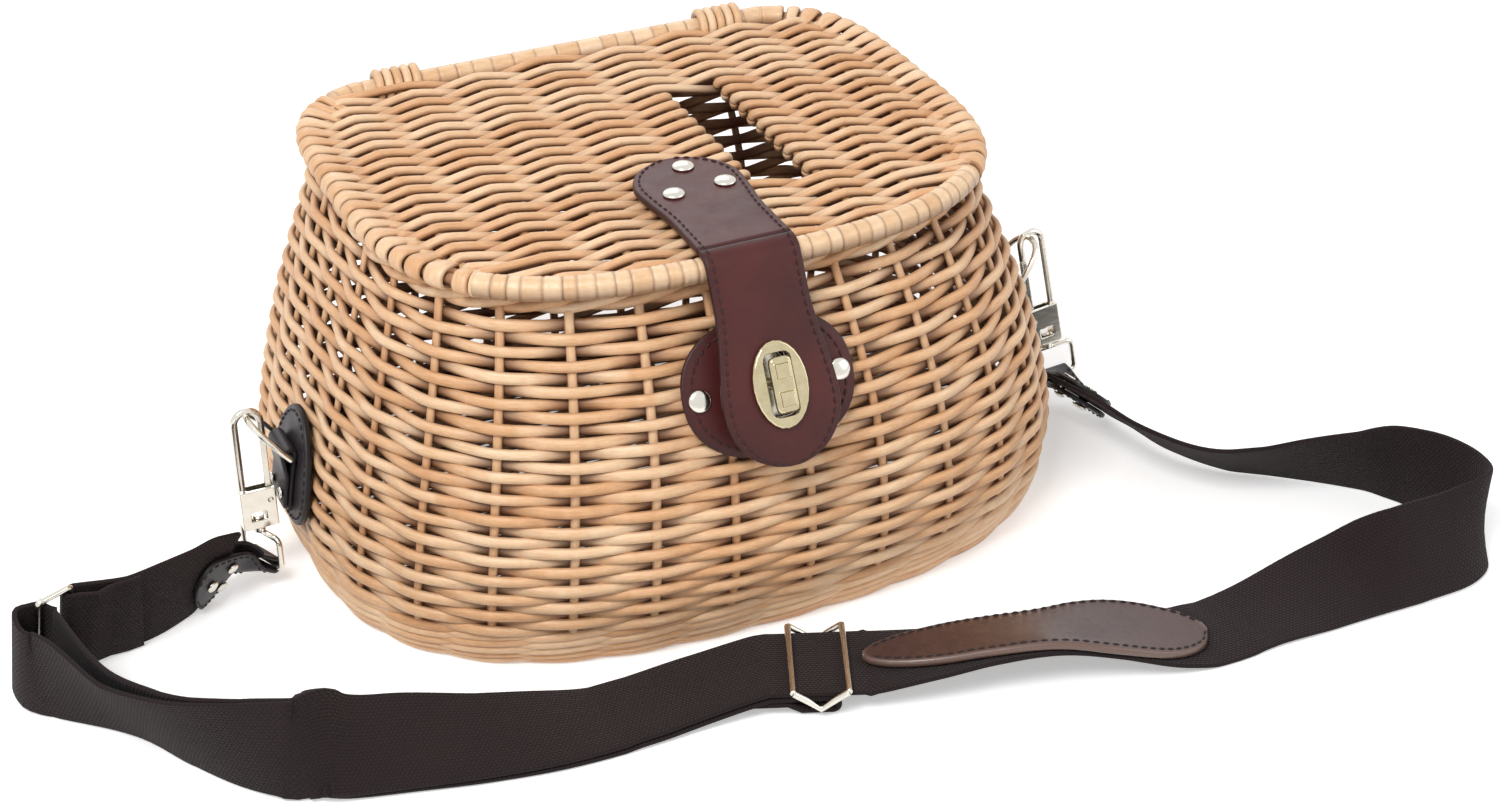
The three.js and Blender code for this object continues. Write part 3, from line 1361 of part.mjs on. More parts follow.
for (const [side, { sign, run, drop, outside, cuts }] of Object.entries(tabSides)) {
  const { m } = eyeBars[side];
  const tabRun = part(run, 0, tabLength, tabSteps).map((s, i) => ({
    ...s,
    p: along(s.p, s.w, -drop * THREE.MathUtils.smoothstep(i / tabSteps, ...tabNeckShares)),
    half: tabHalf(i / tabSteps),
  }));
  const holes = tabRivetShares.map(([t, over]) => {
    const i = Math.round(t * tabSteps);
    const [a, s, b] = [tabRun[i - 1], tabRun[i], tabRun[i + 1]];
    const spot = ({ p, w }) => along(p, w, over * tabHeadHalf);
    const n = spot(b).sub(spot(a)).cross(s.w).normalize();
    n.multiplyScalar(Math.sign(n.z) * outside);
    return { point: along(spot(s), n, tabHalfGap + tabThickness / 2), n };
  });
  const depth = 2 * tabHalfGap + tabThickness;
  const cutters = holes.map(({ point, n }) => drill(point, n, depth));
  add(`strap_tab_${side}`, cut(tabSolid(tabRun), cutters), blackLeather);
  cuts.push(...cutters);
  holes.forEach(({ point, n }, i) => {
    const seat = along(point, n, 2 * seatGap);
    const g = rivet(seat, n, depth + 4 * seatGap, tabRivetRadius, smallHeadHeight);
    add(`tab_rivet_${side}_${i + 1}`, g, nickel);
  });

  const sidePatch = patchSolid(
    sidePoint, 0, sideZ, sidePatchHalfWidth, sidePatchHalfHeight, sidePatchPower, patchThickness, pear,
  );
  const endHoles = keeperRivets.map((p) => rod(
    p, endNormal, rivetShankRadius + drillGap, -wallThickness - overrun, keeperFace + 2 * overrun, drillSides,
  ));
  wallCuts.push(...endHoles.map((g) => mirrored(g, sign)));
  add(`side_patch_${side}`, mirrored(cut(sidePatch, endHoles), sign), blackLeather);
  const keeper = cut(ribbon(keeperStations(), keeperThickness), endHoles);
  add(`ring_keeper_${side}`, mirrored(keeper, sign), blackLeather);
  keeperRivets.forEach((p, i) => {
    const seat = along(p, endNormal, keeperFace + 2 * seatGap);
    const grip = wallThickness + keeperFace + 4 * seatGap;
    const g = rivet(seat, endNormal, grip, smallHeadRadius, smallHeadHeight);
    add(`keeper_rivet_${side}_${i + 1}`, mirrored(g, sign), nickel);
  });
  add(`dee_ring_${side}`, mirrored(tube(deePath(), ringWire, 8, true, V(1, 0, 0.3)), sign), nickel);
  add(`snap_hook_${side}`, mirrored(hookSolid(), sign).applyMatrix4(m), nickel);
  add(`hook_gate_${side}`, mirrored(gateSolid(), sign).applyMatrix4(m), nickel);
  add(`gate_pin_${side}`, mirrored(gatePin(), sign).applyMatrix4(m), nickel);
  const { bar } = eyeBars[side];
  const heading = Math.atan2(bar.y, bar.x) - Math.PI / 2;
  add(`swivel_eye_${side}`, eyeSolid(heading).translate(sign * hookX, 0, 0).applyMatrix4(m), nickel);
}

// A run cut off at both ends, with its own stations kept
function trimmed(run, from, to) {
  const at = runLength(run);
  const inside = run.filter((_, i) => at[i] > from + runGap && at[i] < to - runGap);
  return [pointOn(run, from), ...inside, pointOn(run, to)];
}

// Short webbing: left tab to the ring's near bar, its end folded back and sewn
const leftLength = runLength(leftRun).at(-1);
const nearBar = ringBar(1);
const lapGap = webbingThickness + seatGap;
const shortTail = [[3, 1], [4.5, 0.4], [6, 0], [8, 0], [10, 0]].map(([turns, open]) => {
  const s = pointOn(leftRun, leftLength - turns * barTurn);
  return { ...s, p: along(s.p, s.n, -mix(lapGap, 2 * barTurn, open)) };
});
const shortRun = dressed([
  ...trimmed(leftRun, webbingInTab, leftLength),
  atRing(nearBar, -Math.SQRT1_2, -Math.SQRT1_2),
  atRing(nearBar, -1, 0),
  atRing(nearBar, -Math.SQRT1_2, Math.SQRT1_2),
  atRing(nearBar, 0, 1),
  ...shortTail,
]);
add("webbing_short", cut(ribbon(grounded(shortRun, 0), webbingThickness), tabSides.left.cuts), webbing);

// Long webbing: right tab, under the pad, slide, ring and back to the slide
const mainLength = runLength(mainRun).at(-1);
const plainRun = dressed([
  ...trimmed(mainRun, 0, mainLength - webbingInTab).reverse(),
  ...[...outerRun].reverse(),
  ...innerToRing,
  ...innerRun.slice(2),
  ...loopEnd,
]);

// Pad stations, as distances along the long webbing, closer together at its round ends
const padFrom = mainLength - webbingInTab - runGap;
const padEndShares = [0, 0.01, 0.03, 0.06, 0.1, 0.15];
const plainAt = runLength(plainRun);
const padAt = [
  ...padEndShares.map((v) => v * padLength),
  ...plainAt.map((d) => padFrom - d).filter((d) => d > padEndSpan * padLength && d < (1 - padEndSpan) * padLength),
  ...padEndShares.map((v) => (1 - v) * padLength),
].sort((u, v) => v - u);
const longAt = [
  ...plainAt.filter((d) => d < padFrom - padLength || d > padFrom),
  ...padAt.map((d) => padFrom - d),
].sort((u, v) => u - v);
const longRun = grounded(longAt.map((d) => pointOn(plainRun, d)), 0);
add("webbing_long", cut(ribbon(longRun, webbingThickness), tabSides.right.cuts), webbing);

// Shoulder pad on the long webbing, narrow at the slide's end
const padLift = webbingThickness / 2 + 2 * seatGap + padThickness / 2;
const padRun = padAt.map((d) => {
  const share = d / padLength;
  const s = longRun[longAt.indexOf(padFrom - d)];
  const round = Math.sqrt(Math.max(1 - Math.abs(2 * share - 1) ** padEndPower, padTipShare));
  const half = padHalfWidth * mix(padTaperShare, 1, Math.min(share / padTaperLength, 1)) * round;
  return { ...s, p: along(s.p, s.n, padLift * Math.sign(s.n.z)), half };
});
add("shoulder_pad", ribbon(padRun, padThickness), padLeather);

// Slide: two end bars over the webbing, a centre bar under it and bent rails between
function slideSolid() {
  const reach = webHalf + slideEdgeGap + slideWire;
  const at = (s, y, h) => along(along(along(slideAt, slideT, s), slideW, y), up, h);
  const bar = (s, h) => tube([at(s, -reach, h), at(s, reach, h)], slideWire, 8, false, up);
  const rail = (y) => tube([
    at(-slideHalfLength, y, barLift),
    at(-slideHalfLength / 2, y, -barLift / 3),
    at(0, y, -centreBarDrop),
    at(slideHalfLength / 2, y, -barLift / 3),
    at(slideHalfLength, y, barLift),
  ], slideWire, 8, false, slideW);
  return join([
    bar(-slideHalfLength, barLift), bar(slideHalfLength, barLift), bar(0, -centreBarDrop),
    rail(-reach), rail(reach),
  ]);
}
add("strap_slide", slideSolid(), nickel);

// Wall: room for the hinge loops and the rivets
const loopFoot = rimHeight - loopReach - loopRodRadius - runGap;
for (const x of [-hingeX, hingeX]) {
  const [front, back] = [hingeY - 3 * overrun, hingeY + 3 * overrun];
  wallCuts.push(box(x - notchHalf, x + notchHalf, front, back, loopFoot, wallTop + overrun));
}
add("basket_wall", cut(wovenWall(), wallCuts), willow);

export default group;
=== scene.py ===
import math

import bmesh
import bpy
import numpy as np
from mathutils import Matrix, Vector


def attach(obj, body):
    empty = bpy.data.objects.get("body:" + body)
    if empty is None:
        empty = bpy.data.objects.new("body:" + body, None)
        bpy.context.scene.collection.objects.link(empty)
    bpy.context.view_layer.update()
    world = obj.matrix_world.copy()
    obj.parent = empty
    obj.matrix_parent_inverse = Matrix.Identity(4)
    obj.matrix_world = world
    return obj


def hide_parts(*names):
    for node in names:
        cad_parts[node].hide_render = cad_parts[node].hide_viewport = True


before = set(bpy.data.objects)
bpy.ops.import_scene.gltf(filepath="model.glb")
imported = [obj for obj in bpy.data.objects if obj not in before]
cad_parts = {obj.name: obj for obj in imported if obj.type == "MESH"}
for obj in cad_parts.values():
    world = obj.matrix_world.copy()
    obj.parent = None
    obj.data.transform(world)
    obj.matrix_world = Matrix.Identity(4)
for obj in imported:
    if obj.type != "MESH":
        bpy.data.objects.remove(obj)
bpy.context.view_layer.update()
MM = 0.001
noise = np.random.default_rng(11)
RIGHT = np.array([1.0, 0.0, 0.0])
UP = np.array([0.0, 0.0, 1.0])
SIDES = (("left", -1), ("right", 1))


def unit(v):
    v = np.asarray(v, float)
    return v / np.linalg.norm(v)


def units(rows):
    return rows / np.linalg.norm(rows, axis=1)[:, None]


def smooth_step(t):
    t = np.clip(t, 0, 1)
    return t * t * (3 - 2 * t)


def run_length(points):
    """Distance along a line at each of its points"""
    return np.concatenate([[0], np.cumsum(np.linalg.norm(np.diff(points, axis=0), axis=1))])


def sample(want, at, rows):
    """Rows given at some distances, read at the wanted ones"""
    return np.stack([np.interp(want, at, column) for column in rows.T], 1)


def linked(name, data):
    made = bpy.data.objects.new(name, data)
    bpy.context.collection.objects.link(made)
    return made


# Camera at the photograph's angle
AZIMUTH, ELEVATION, ROLL = -23.5, 31.0, -1.0
DISTANCE, FOCAL_PIXELS, FRAME_WIDTH, SENSOR = 1250.0, 2812.5, 1500.0, 36.0
TARGET = np.array([6.4, -91.0, 90.0])


def make_camera():
    a, e, r = (math.radians(v) for v in (AZIMUTH, ELEVATION, ROLL))
    forward = np.array([-math.sin(a) * math.cos(e), math.cos(a) * math.cos(e), -math.sin(e)])
    right = np.array([math.cos(a), math.sin(a), 0.0])
    up = np.cross(right, forward)
    right, up = right * math.cos(r) + up * math.sin(r), up * math.cos(r) - right * math.sin(r)
    data = bpy.data.cameras.new("camera")
    data.sensor_width = SENSOR
    data.lens = SENSOR * FOCAL_PIXELS / FRAME_WIDTH
    data.clip_end = 20.0
    camera = linked("camera", data)
    turn = Matrix([list(right), list(up), list(-forward)]).transposed().to_4x4()
    camera.matrix_world = Matrix.Translation(Vector((TARGET - forward * DISTANCE) * MM)) @ turn
    bpy.context.scene.camera = camera


make_camera()


class Value:
    """Output of a node, which takes part in sums and products"""

    def __init__(self, nodes, socket):
        self.nodes, self.socket = nodes, socket

    def __add__(self, other):
        return self.nodes.math("ADD", self, other)

    def __sub__(self, other):
        return self.nodes.math("SUBTRACT", self, other)

    def __rsub__(self, other):
        return self.nodes.math("SUBTRACT", other, self)

    def __mul__(self, other):
        return self.nodes.math("MULTIPLY", self, other)

    def __truediv__(self, other):
        return self.nodes.math("DIVIDE", self, other)

    def clamped(self):
        self.socket.node.use_clamp = True
        return self


class Nodes:
    def __init__(self, tree):
        self.tree = tree

    def node(self, kind, inputs, output=0, **settings):
        made = self.tree.nodes.new(kind)
        for key, value in settings.items():
            setattr(made, key, value)
        for key, value in inputs.items():
            self.feed(made.inputs[key], value)
        return Value(self, made.outputs[output])

    def feed(self, socket, value):
        if isinstance(value, Value):
            self.tree.links.new(value.socket, socket)
        else:
            socket.default_value = (*value, 1.0) if socket.type == "RGBA" else value

    def math(self, operation, a, b=0.0):
        return self.node("ShaderNodeMath", {0: a, 1: b}, operation=operation)

    def attribute(self, name):
        return self.node("ShaderNodeAttribute", {}, "Fac", attribute_name=name)

    def position(self):
        return self.node("ShaderNodeTexCoord", {}, "Object")

    def combine(self, x, y, z):
        return self.node("ShaderNodeCombineXYZ", {"X": x, "Y": y, "Z": z})

    def noise(self, vector, scale, detail=3.0, rough=0.55):
        inputs = {"Vector": vector, "Scale": scale, "Detail": detail, "Roughness": rough}
        return self.node("ShaderNodeTexNoise", inputs, "Fac")

    def ramp(self, value, stops):
        made = self.node("ShaderNodeValToRGB", {"Fac": value}, "Color")
        ramp = made.socket.node.color_ramp
        while len(ramp.elements) < len(stops):
            ramp.elements.new(0.5)
        for element, (at, color) in zip(ramp.elements, stops):
            element.position = at
            element.color = (*color, 1.0)
        return made

    def mix(self, factor, a, b):
        return self.node("ShaderNodeMix", {0: factor, 6: a, 7: b}, 2, data_type="RGBA")

    def bump(self, height, strength, distance, **more):
        inputs = {"Height": height, "Strength": strength, "Distance": distance, **more}
        return self.node("ShaderNodeBump", inputs)

    def seen(self):
        """1 for what the camera sees, in a mirror and through glass too"""
        kinds = ("Camera", "Glossy", "Transmission")
        a, b, c = (self.node("ShaderNodeLightPath", {}, f"Is {kind} Ray") for kind in kinds)
        return self.math("MAXIMUM", self.math("MAXIMUM", a, b), c)


class Shader(Nodes):
    def __init__(self, name):
        self.material = bpy.data.materials.new(name)
        self.material.use_nodes = True
        super().__init__(self.material.node_tree)

    def set(self, **values):
        for key, value in values.items():
            self.feed(self.tree.nodes["Principled BSDF"].inputs[key.replace("_", " ")], value)


def srgb(r, g, b):
    def one(v):
        v /= 255
        return v / 12.92 if v <= 0.04045 else ((v + 0.055) / 1.055) ** 2.4
    return one(r), one(g), one(b)


# Peeled willow: each rod has its own tone and streaks along it, with painted shade where it dives behind a
# stake and on its flanks and inner side
def willow(name, light, middle, dark, gloss=0.46):
    m = Shader(name)
    tone, shade, along, turn = (m.attribute(key) for key in ("tone", "shade", "along", "round"))
    streaks = m.noise(m.combine(along * 0.02, turn, tone * 37.0), 9.0, 5.0, 0.6)
    fine = m.noise(m.combine(along * 0.06, turn * 3.0, tone), 14.0)
    blotch = m.noise(m.position(), 38.0, 2.0)
    value = tone * 0.55 + streaks * 0.55 + (blotch - 0.5) * 0.45
    base = m.ramp(value, [(0.12, dark), (0.5, middle), (0.88, light)])
    # painted shade: the shade attribute darkens the rod towards deep brown where it dives or sits in a
    # crevice
    deep = m.mix((shade * 0.86).clamped(), base, srgb(86, 34, 12))
    # painted shade on the rod's flanks and inner side, eased where it faces fully inward
    inside = ((0.7 - turn) * 1.7).clamped()
    facing_in = ((0.36 - turn) * 2.0).clamped()
    deep = m.mix((inside - facing_in * 0.95).clamped(), deep, srgb(88, 40, 18))
    streaked = m.mix(m.math("GREATER_THAN", fine, 0.66) * 0.16, deep, srgb(176, 112, 66))
    m.set(Base_Color=streaked, Roughness=streaks * 0.22 + (gloss - 0.1))
    m.set(Normal=m.bump(streaks + fine * 0.5, 0.35, 0.0004))
    m.set(Coat_Weight=0.12, Coat_Roughness=0.35)
    return m.material


def leather(name, color, edge, deep, grain=1.0, gloss=0.4, coat=0.04):
    m = Shader(name)
    at = m.position()
    cell = {"Vector": at, "Scale": 900.0 * grain}
    cells = m.node("ShaderNodeTexVoronoi", cell, "Distance", feature="DISTANCE_TO_EDGE")
    pores = m.noise(at, 1500.0 * grain, 3.0)
    base = m.ramp(m.noise(at, 26.0, 4.0), [(0.28, deep), (0.72, color)])
    border = (1.0 - m.attribute("edge") / 2.2).clamped()
    m.set(Base_Color=m.mix(border * 0.75, base, edge))
    m.set(Roughness=m.noise(at, 120.0, 3.0) * 0.22 + (gloss - 0.1))
    relief = m.math("MINIMUM", cells, 0.12) * 5.0 + pores * 0.35
    soft = m.bump(m.noise(at, 75.0, 3.0), 0.25, 0.0012)
    m.set(Normal=m.bump(relief, 0.22, 0.00025, Normal=soft))
    m.set(Coat_Weight=coat, Coat_Roughness=0.3, Specular_IOR_Level=0.34)
    return m.material


def metal(name, color, tint, rough):
    m = Shader(name)
    at = m.position()
    cloud = m.noise(at, 220.0, 3.0)
    stretched = m.node("ShaderNodeMapping", {"Vector": at, "Scale": (60.0, 900.0, 400.0)})
    m.set(Base_Color=m.mix(cloud * 0.6, color, tint), Metallic=1.0)
    m.set(Roughness=m.noise(stretched, 3.0, 4.0) * 0.16 + rough)
    m.set(Normal=m.bump(cloud, 0.06, 0.0003))
    return m.material


# Ribbed webbing: staggered picks across the band, with painted light on the raised picks and painted shade
# between them
def webbing_material(name, color, light):
    m = Shader(name)
    along, across = m.attribute("along"), m.attribute("across")
    rib = 1.5
    stagger = m.math("MODULO", m.math("FLOOR", across / rib) + 64.0, 2.0) * 0.5
    lump = m.math("ABSOLUTE", m.math("SINE", (along / 1.9 + stagger) * math.pi))
    height = lump * m.math("ABSOLUTE", m.math("SINE", across * (math.pi / rib)))
    hair = m.noise(m.combine(along, across, 0.0), 1.8, 4.0)
    # painted light and shade: the colour follows the weave's relief, lighter on the picks and darker between
    # them
    base = m.mix(height * 0.55, color, light)
    base = m.mix(m.noise(m.position(), 30.0, 3.0) * 0.22, base, srgb(66, 48, 46))
    m.set(Base_Color=base, Roughness=0.82, Sheen_Weight=0.06, Sheen_Roughness=0.5, Specular_IOR_Level=0.2)
    m.set(Normal=m.bump(height + hair * 0.35, 0.8, 0.0006))
    return m.material


def thread_material(name, color):
    m = Shader(name)
    twist = m.noise(m.position(), 2200.0, 2.0)
    m.set(Base_Color=m.mix(twist, color, tuple(0.55 * c for c in color)), Roughness=0.75)
    m.set(Normal=m.bump(twist, 0.4, 0.0002))
    return m.material


WILLOW = willow("willow", srgb(250, 219, 182), srgb(226, 175, 128), srgb(188, 128, 80))
WILLOW_DARK = willow("willow_stake", srgb(243, 208, 168), srgb(218, 168, 122), srgb(180, 122, 78))
SKEIN = willow("willow_skein", srgb(250, 220, 184), srgb(232, 190, 146), srgb(206, 154, 106), 0.38)
BURGUNDY = leather("burgundy_leather", srgb(80, 30, 28), srgb(40, 13, 13), srgb(60, 20, 19), 1.0, 0.42)
BLACK = leather("black_leather", srgb(54, 48, 52), srgb(24, 20, 22), srgb(36, 31, 35), 1.1, 0.42)
BROWN = leather("brown_leather", srgb(84, 58, 54), srgb(120, 96, 84), srgb(64, 42, 40), 0.9, 0.26, 0.5)
WEBBING = webbing_material("webbing", srgb(27, 19, 20), srgb(49, 38, 39))
BRASS = metal("pale_brass", srgb(218, 206, 172), srgb(160, 142, 100), 0.13)
NICKEL = metal("nickel_plate", srgb(232, 228, 218), srgb(200, 194, 182), 0.12)
THREAD = thread_material("dark_thread", srgb(58, 26, 28))
BLACK_THREAD = thread_material("black_thread", srgb(34, 28, 30))


def ring_faces(rings, sides, closed=False):
    """Faces between rings of points, and the end faces of an open run"""
    faces = []
    for i in range(rings if closed else rings - 1):
        a, b = i * sides, ((i + 1) % rings) * sides
        faces += [(a + j, a + (j + 1) % sides, b + (j + 1) % sides, b + j) for j in range(sides)]
    if not closed:
        faces += [tuple(range(sides))[::-1], tuple(range((rings - 1) * sides, rings * sides))]
    return faces


# Meshes gathered from tubes, with tone, shade, along and round on each vertex
class Bundle:
    NAMES = ("tone", "shade", "along", "round")

    def __init__(self):
        self.points, self.faces, self.values, self.count = [], [], [], 0

    def tube(self, line, normal, width, thickness=None, sides=8, closed=False, tone=0.5, shade=0.0):
        line = np.asarray(line, float)
        n = len(line)
        given = (width, width if thickness is None else thickness, tone, shade)
        width, thick, tone, shade = (np.broadcast_to(np.asarray(v, float), n) for v in given)
        tangent = np.roll(line, -1, 0) - np.roll(line, 1, 0) if closed else np.gradient(line, axis=0)
        tangent = units(tangent)
        side = units(np.cross(tangent, np.broadcast_to(normal, line.shape)))
        out = np.cross(side, tangent)
        angle = 2 * np.pi * np.arange(sides) / sides
        ring = (out[:, None] * np.cos(angle)[None, :, None] * thick[:, None, None]
                + side[:, None] * np.sin(angle)[None, :, None] * width[:, None, None])
        columns = [np.repeat(v, sides) for v in (tone, shade, run_length(line))]
        self.points.append((line[:, None] + ring).reshape(-1, 3))
        self.faces += [tuple(i + self.count for i in f) for f in ring_faces(n, sides, closed)]
        self.values.append(np.stack([*columns, np.tile(np.abs(angle / np.pi - 1), n)], 1))
        self.count += n * sides

    def build(self, name, material, body, replaces=(), slot=None):
        columns = dict(zip(self.NAMES, np.concatenate(self.values).T))
        return piece(name, np.concatenate(self.points), self.faces, material, body, replaces, slot, columns)


def piece(name, points, faces, material, body, replaces=(), slot=None, columns=None):
    mesh = bpy.data.meshes.new(name)
    mesh.from_pydata((np.asarray(points, float) * MM).tolist(), [], faces)
    for key, column in (columns or {}).items():
        mesh.attributes.new(key, "FLOAT", "POINT").data.foreach_set("value", np.asarray(column, np.float32))
    mesh.polygons.foreach_set("use_smooth", [True] * len(mesh.polygons))
    mesh.materials.append(material)
    mesh.update()
    made = linked(name, mesh)
    turn_out(made)
    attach(made, body)
    if replaces:
        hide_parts(*([replaces] if isinstance(replaces, str) else replaces))
    return made


# Faces point out of each closed piece
def turn_out(made):
    b = bmesh.new()
    b.from_mesh(made.data)
    bmesh.ops.recalc_face_normals(b, faces=b.faces)
    b.to_mesh(made.data)
    b.free()


def cut(made, cutter):
    bpy.context.view_layer.update()
    m = made.modifiers.new("cut", "BOOLEAN")
    m.object, m.operation, m.solver = cutter, "DIFFERENCE", "EXACT"
    graph = bpy.context.evaluated_depsgraph_get()
    mesh = bpy.data.meshes.new_from_object(made.evaluated_get(graph))
    made.modifiers.clear()
    old = made.data
    made.data = mesh
    bpy.data.meshes.remove(old)
    bpy.data.objects.remove(cutter)


# Plan outlines of the basket and the lid, as in the model
SEAT, RUN, ROD_RADIUS = 0.3, 0.4, 5.5
BODY_HALF, BODY_FRONT, BODY_BACK, BACK_FLAT = 182.0, 151.0, 129.0, 122.0
FRONT_POWER, BACK_POWER, RIM_Z = 2.6, 4.4, 166.0
# Height, width and front depth of the body's sections, as shares
SECTIONS = [
    (0.0, 0.972, 0.885), (0.13, 1.0, 0.95), (0.3, 0.99, 1.0),
    (0.6, 0.923, 0.975), (0.8, 0.857, 0.885), (1.0, 0.785, 0.75),
]
LID_HALF, LID_FRONT, LID_BACK, LID_Y = 147.0, 126.0, 124.0, 4.0
LID_FRONT_POWER, LID_BACK_POWER = 2.8, 4.7
LID_SHAPE = (LID_HALF, LID_FRONT, LID_BACK, LID_FRONT_POWER, LID_BACK_POWER)
LID_Z, HINGE_Y, HINGE_X = RIM_Z + 2 * ROD_RADIUS + SEAT, BACK_FLAT - ROD_RADIUS, 83.0


def hermite(t, p, p_slope, q, q_slope):
    """Curve from p to q that starts and ends with the given slopes"""
    return ((2 * t**3 - 3 * t**2 + 1) * p + (t**3 - 2 * t**2 + t) * p_slope
            + (3 * t**2 - 2 * t**3) * q + (t**3 - t**2) * q_slope)


def section(z, column):
    h = min(max(z / RIM_Z, 0.0), 1.0)
    i = 0
    while i < len(SECTIONS) - 2 and h > SECTIONS[i + 1][0]:
        i += 1

    def slope(k):
        a, b = SECTIONS[max(k - 1, 0)], SECTIONS[min(k + 1, len(SECTIONS) - 1)]
        return (b[column] - a[column]) / (b[0] - a[0])
    p, q = SECTIONS[i], SECTIONS[i + 1]
    w = q[0] - p[0]
    return hermite((h - p[0]) / w, p[column], w * slope(i), q[column], w * slope(i + 1))


def body_half(z):
    return BODY_HALF * section(z, 1)


def body_front(z):
    return BODY_FRONT * section(z, 2)


def super_curve(angles, half, front, back, front_power, back_power):
    c, s = np.cos(angles), np.sin(angles)
    power = np.where(s < 0, 2 / front_power, 2 / back_power)
    depth = np.where(s < 0, front, back)
    return np.stack([half * np.sign(c) * np.abs(c) ** power, depth * np.sign(s) * np.abs(s) ** power], 1)


OUTLINE_POINTS = 1440
ALL_ROUND = 2 * np.pi * (np.arange(OUTLINE_POINTS) + 0.5) / OUTLINE_POINTS + np.pi / 2


class Outline:
    """Closed plan curve, measured by its share of the way round from the back's middle"""

    def __init__(self, points, inset):
        n = len(points)
        edge = units(np.roll(points, -1, 0) - np.roll(points, 1, 0))
        kernel = np.ones(15) / 15
        wide = np.concatenate([edge[-20:], edge, edge[:20]])
        edge = units(np.stack([np.convolve(wide[:, i], kernel, "same")[20:20 + n] for i in (0, 1)], 1))
        self.normals = np.stack([edge[:, 1], -edge[:, 0]], 1)
        self.points = points - self.normals * inset
        run = run_length(np.vstack([points, points[:1]]))
        self.share = run / run[-1]

    def at(self, share):
        share = np.asarray(share) % 1.0
        rows = (np.vstack([v, v[:1]]) for v in (self.points, self.normals))
        points, normals = (sample(share, self.share, v) for v in rows)
        return points, units(normals)


def wall_outline(z, inset):
    points = super_curve(ALL_ROUND, body_half(z), body_front(z), BODY_BACK, FRONT_POWER, BACK_POWER)
    points[:, 1] = np.minimum(points[:, 1], BACK_FLAT)
    return Outline(points, inset)


def lid_curve(angles):
    points = super_curve(angles, *LID_SHAPE)
    points[:, 1] = np.minimum(points[:, 1] + LID_Y, BACK_FLAT)
    return points


def wobble(share, size, waves=(2, 3, 5, 9)):
    total = np.zeros_like(share)
    for w in waves:
        total += np.sin(2 * np.pi * (w * share + noise.random())) / len(waves)
    return total * size


# Wall: rows of willow woven over one stake and behind the next
STAKES, ROWS = 30, 29
FOOT_TOP = 20.0
WALL_FOOT, WALL_TOP = FOOT_TOP + SEAT, RIM_Z - ROD_RADIUS - SEAT
WALL_PITCH = (WALL_TOP - WALL_FOOT) / ROWS
STAKE_INSET, WEAVE_SWING, WEAVE_THICK, WEAVE_RISE = 4.6, 2.5, 1.95, 0.9
WEAVE_TALL, STAKE_THICK, STAKE_FOOT, STAKE_RISE = 0.58 * WALL_PITCH, 1.6, 3.0, 1.5
RODS_IN_ROW = 7


def swing(phase):
    return (np.cos(phase) + 0.11 * np.cos(3 * phase)) / 1.11


def make_wall():
    weave = Bundle()
    steps = STAKES * 10
    share = np.arange(steps) / steps
    for k in range(ROWS):
        z = WALL_FOOT + WALL_PITCH * (k + 0.5)
        plan, normal = wall_outline(z, STAKE_INSET).at(share)
        s = swing(np.pi * (share * STAKES + k + 1))
        tall = WEAVE_TALL * (1 + wobble(share, 0.1, (4, 7, 11)))
        plan = plan + normal * (s * WEAVE_SWING)[:, None]
        line = np.column_stack([plan, z + WEAVE_RISE * s + wobble(share, 0.5)])
        out = np.column_stack([normal, np.full(steps, 0.1)])
        cuts = (np.floor(share * RODS_IN_ROW + noise.random()).astype(int)) % RODS_IN_ROW
        tone = noise.random(RODS_IN_ROW)[cuts] * 0.5 + 0.35
        shade = np.clip(0.22 - 0.78 * s, 0, 1) ** 1.5
        weave.tube(line, out, tall, WEAVE_THICK, 8, True, tone, shade)
    weave.build("wall_weave", WILLOW, "basket", "basket_wall", "woven_willow")

    stakes = Bundle()
    heights = np.linspace(STAKE_FOOT, RIM_Z + STAKE_RISE, 26)
    rows = [wall_outline(z, STAKE_INSET).at(np.arange(STAKES) / STAKES) for z in heights]
    for j in range(STAKES):
        line = np.array([[*plan[j], z] for z, (plan, _) in zip(heights, rows)])
        out = np.array([[*normal[j], 0.0] for _, normal in rows])
        width, tone = 2.0 + 0.2 * noise.random(), 0.3 + 0.5 * noise.random()
        # a little painted shade on each stake
        stakes.tube(line, out, width, STAKE_THICK, 8, False, tone, 0.05)
    stakes.build("wall_stakes", WILLOW_DARK, "basket", (), "willow_rod")


# Foot: rows of three-rod waling, each strand over two stakes and behind one; height and
# inset of each row
FOOT_ROWS = ((2.75, 4.2), (6.9, 3.5), (11.1, 3.3), (15.4, 3.7), (19.2, 4.3))
FOOT_ROD, FOOT_SWING, FOOT_SET_BACK, FOOT_RISE = 2.5, 3.3, 2.9, 1.25
RIM_ROD, RIM_SWING, RIM_RISE, RIM_TURNS = 2.75, 2.35, 2.3, 13
STRANDS = 3


def make_foot():
    foot = Bundle()
    steps = STAKES * 8
    share = np.arange(steps) / steps
    for k, (z, inset) in enumerate(FOOT_ROWS):
        plan, normal = wall_outline(z, inset).at(share)
        for strand in range(STRANDS):
            phase = 2 * np.pi * (share * STAKES + k + strand) / STRANDS
            ahead = 0.35 + 0.65 * np.cos(phase)
            size = FOOT_ROD * (0.72 + 0.28 * np.clip(0.7 + np.cos(phase), 0, 1))
            size = size * (1 + wobble(share, 0.08, (3, 8)))
            shift = plan + normal * (FOOT_SWING * ahead - FOOT_SET_BACK)[:, None]
            height = z + FOOT_RISE * np.sin(phase) + wobble(share, 0.25)
            height = np.maximum(height, size + 0.05)
            line = np.column_stack([shift, height])
            out = np.column_stack([normal, np.zeros(steps)])
            tone = np.full(steps, 0.15 + 0.7 * noise.random())
            # painted shade where a strand passes behind the others
            foot.tube(line, out, size, size, 8, True, tone, np.clip(0.3 - 0.9 * np.cos(phase), 0, 1))
    foot.build("foot_wale", WILLOW, "basket", "foot_border", "woven_willow")


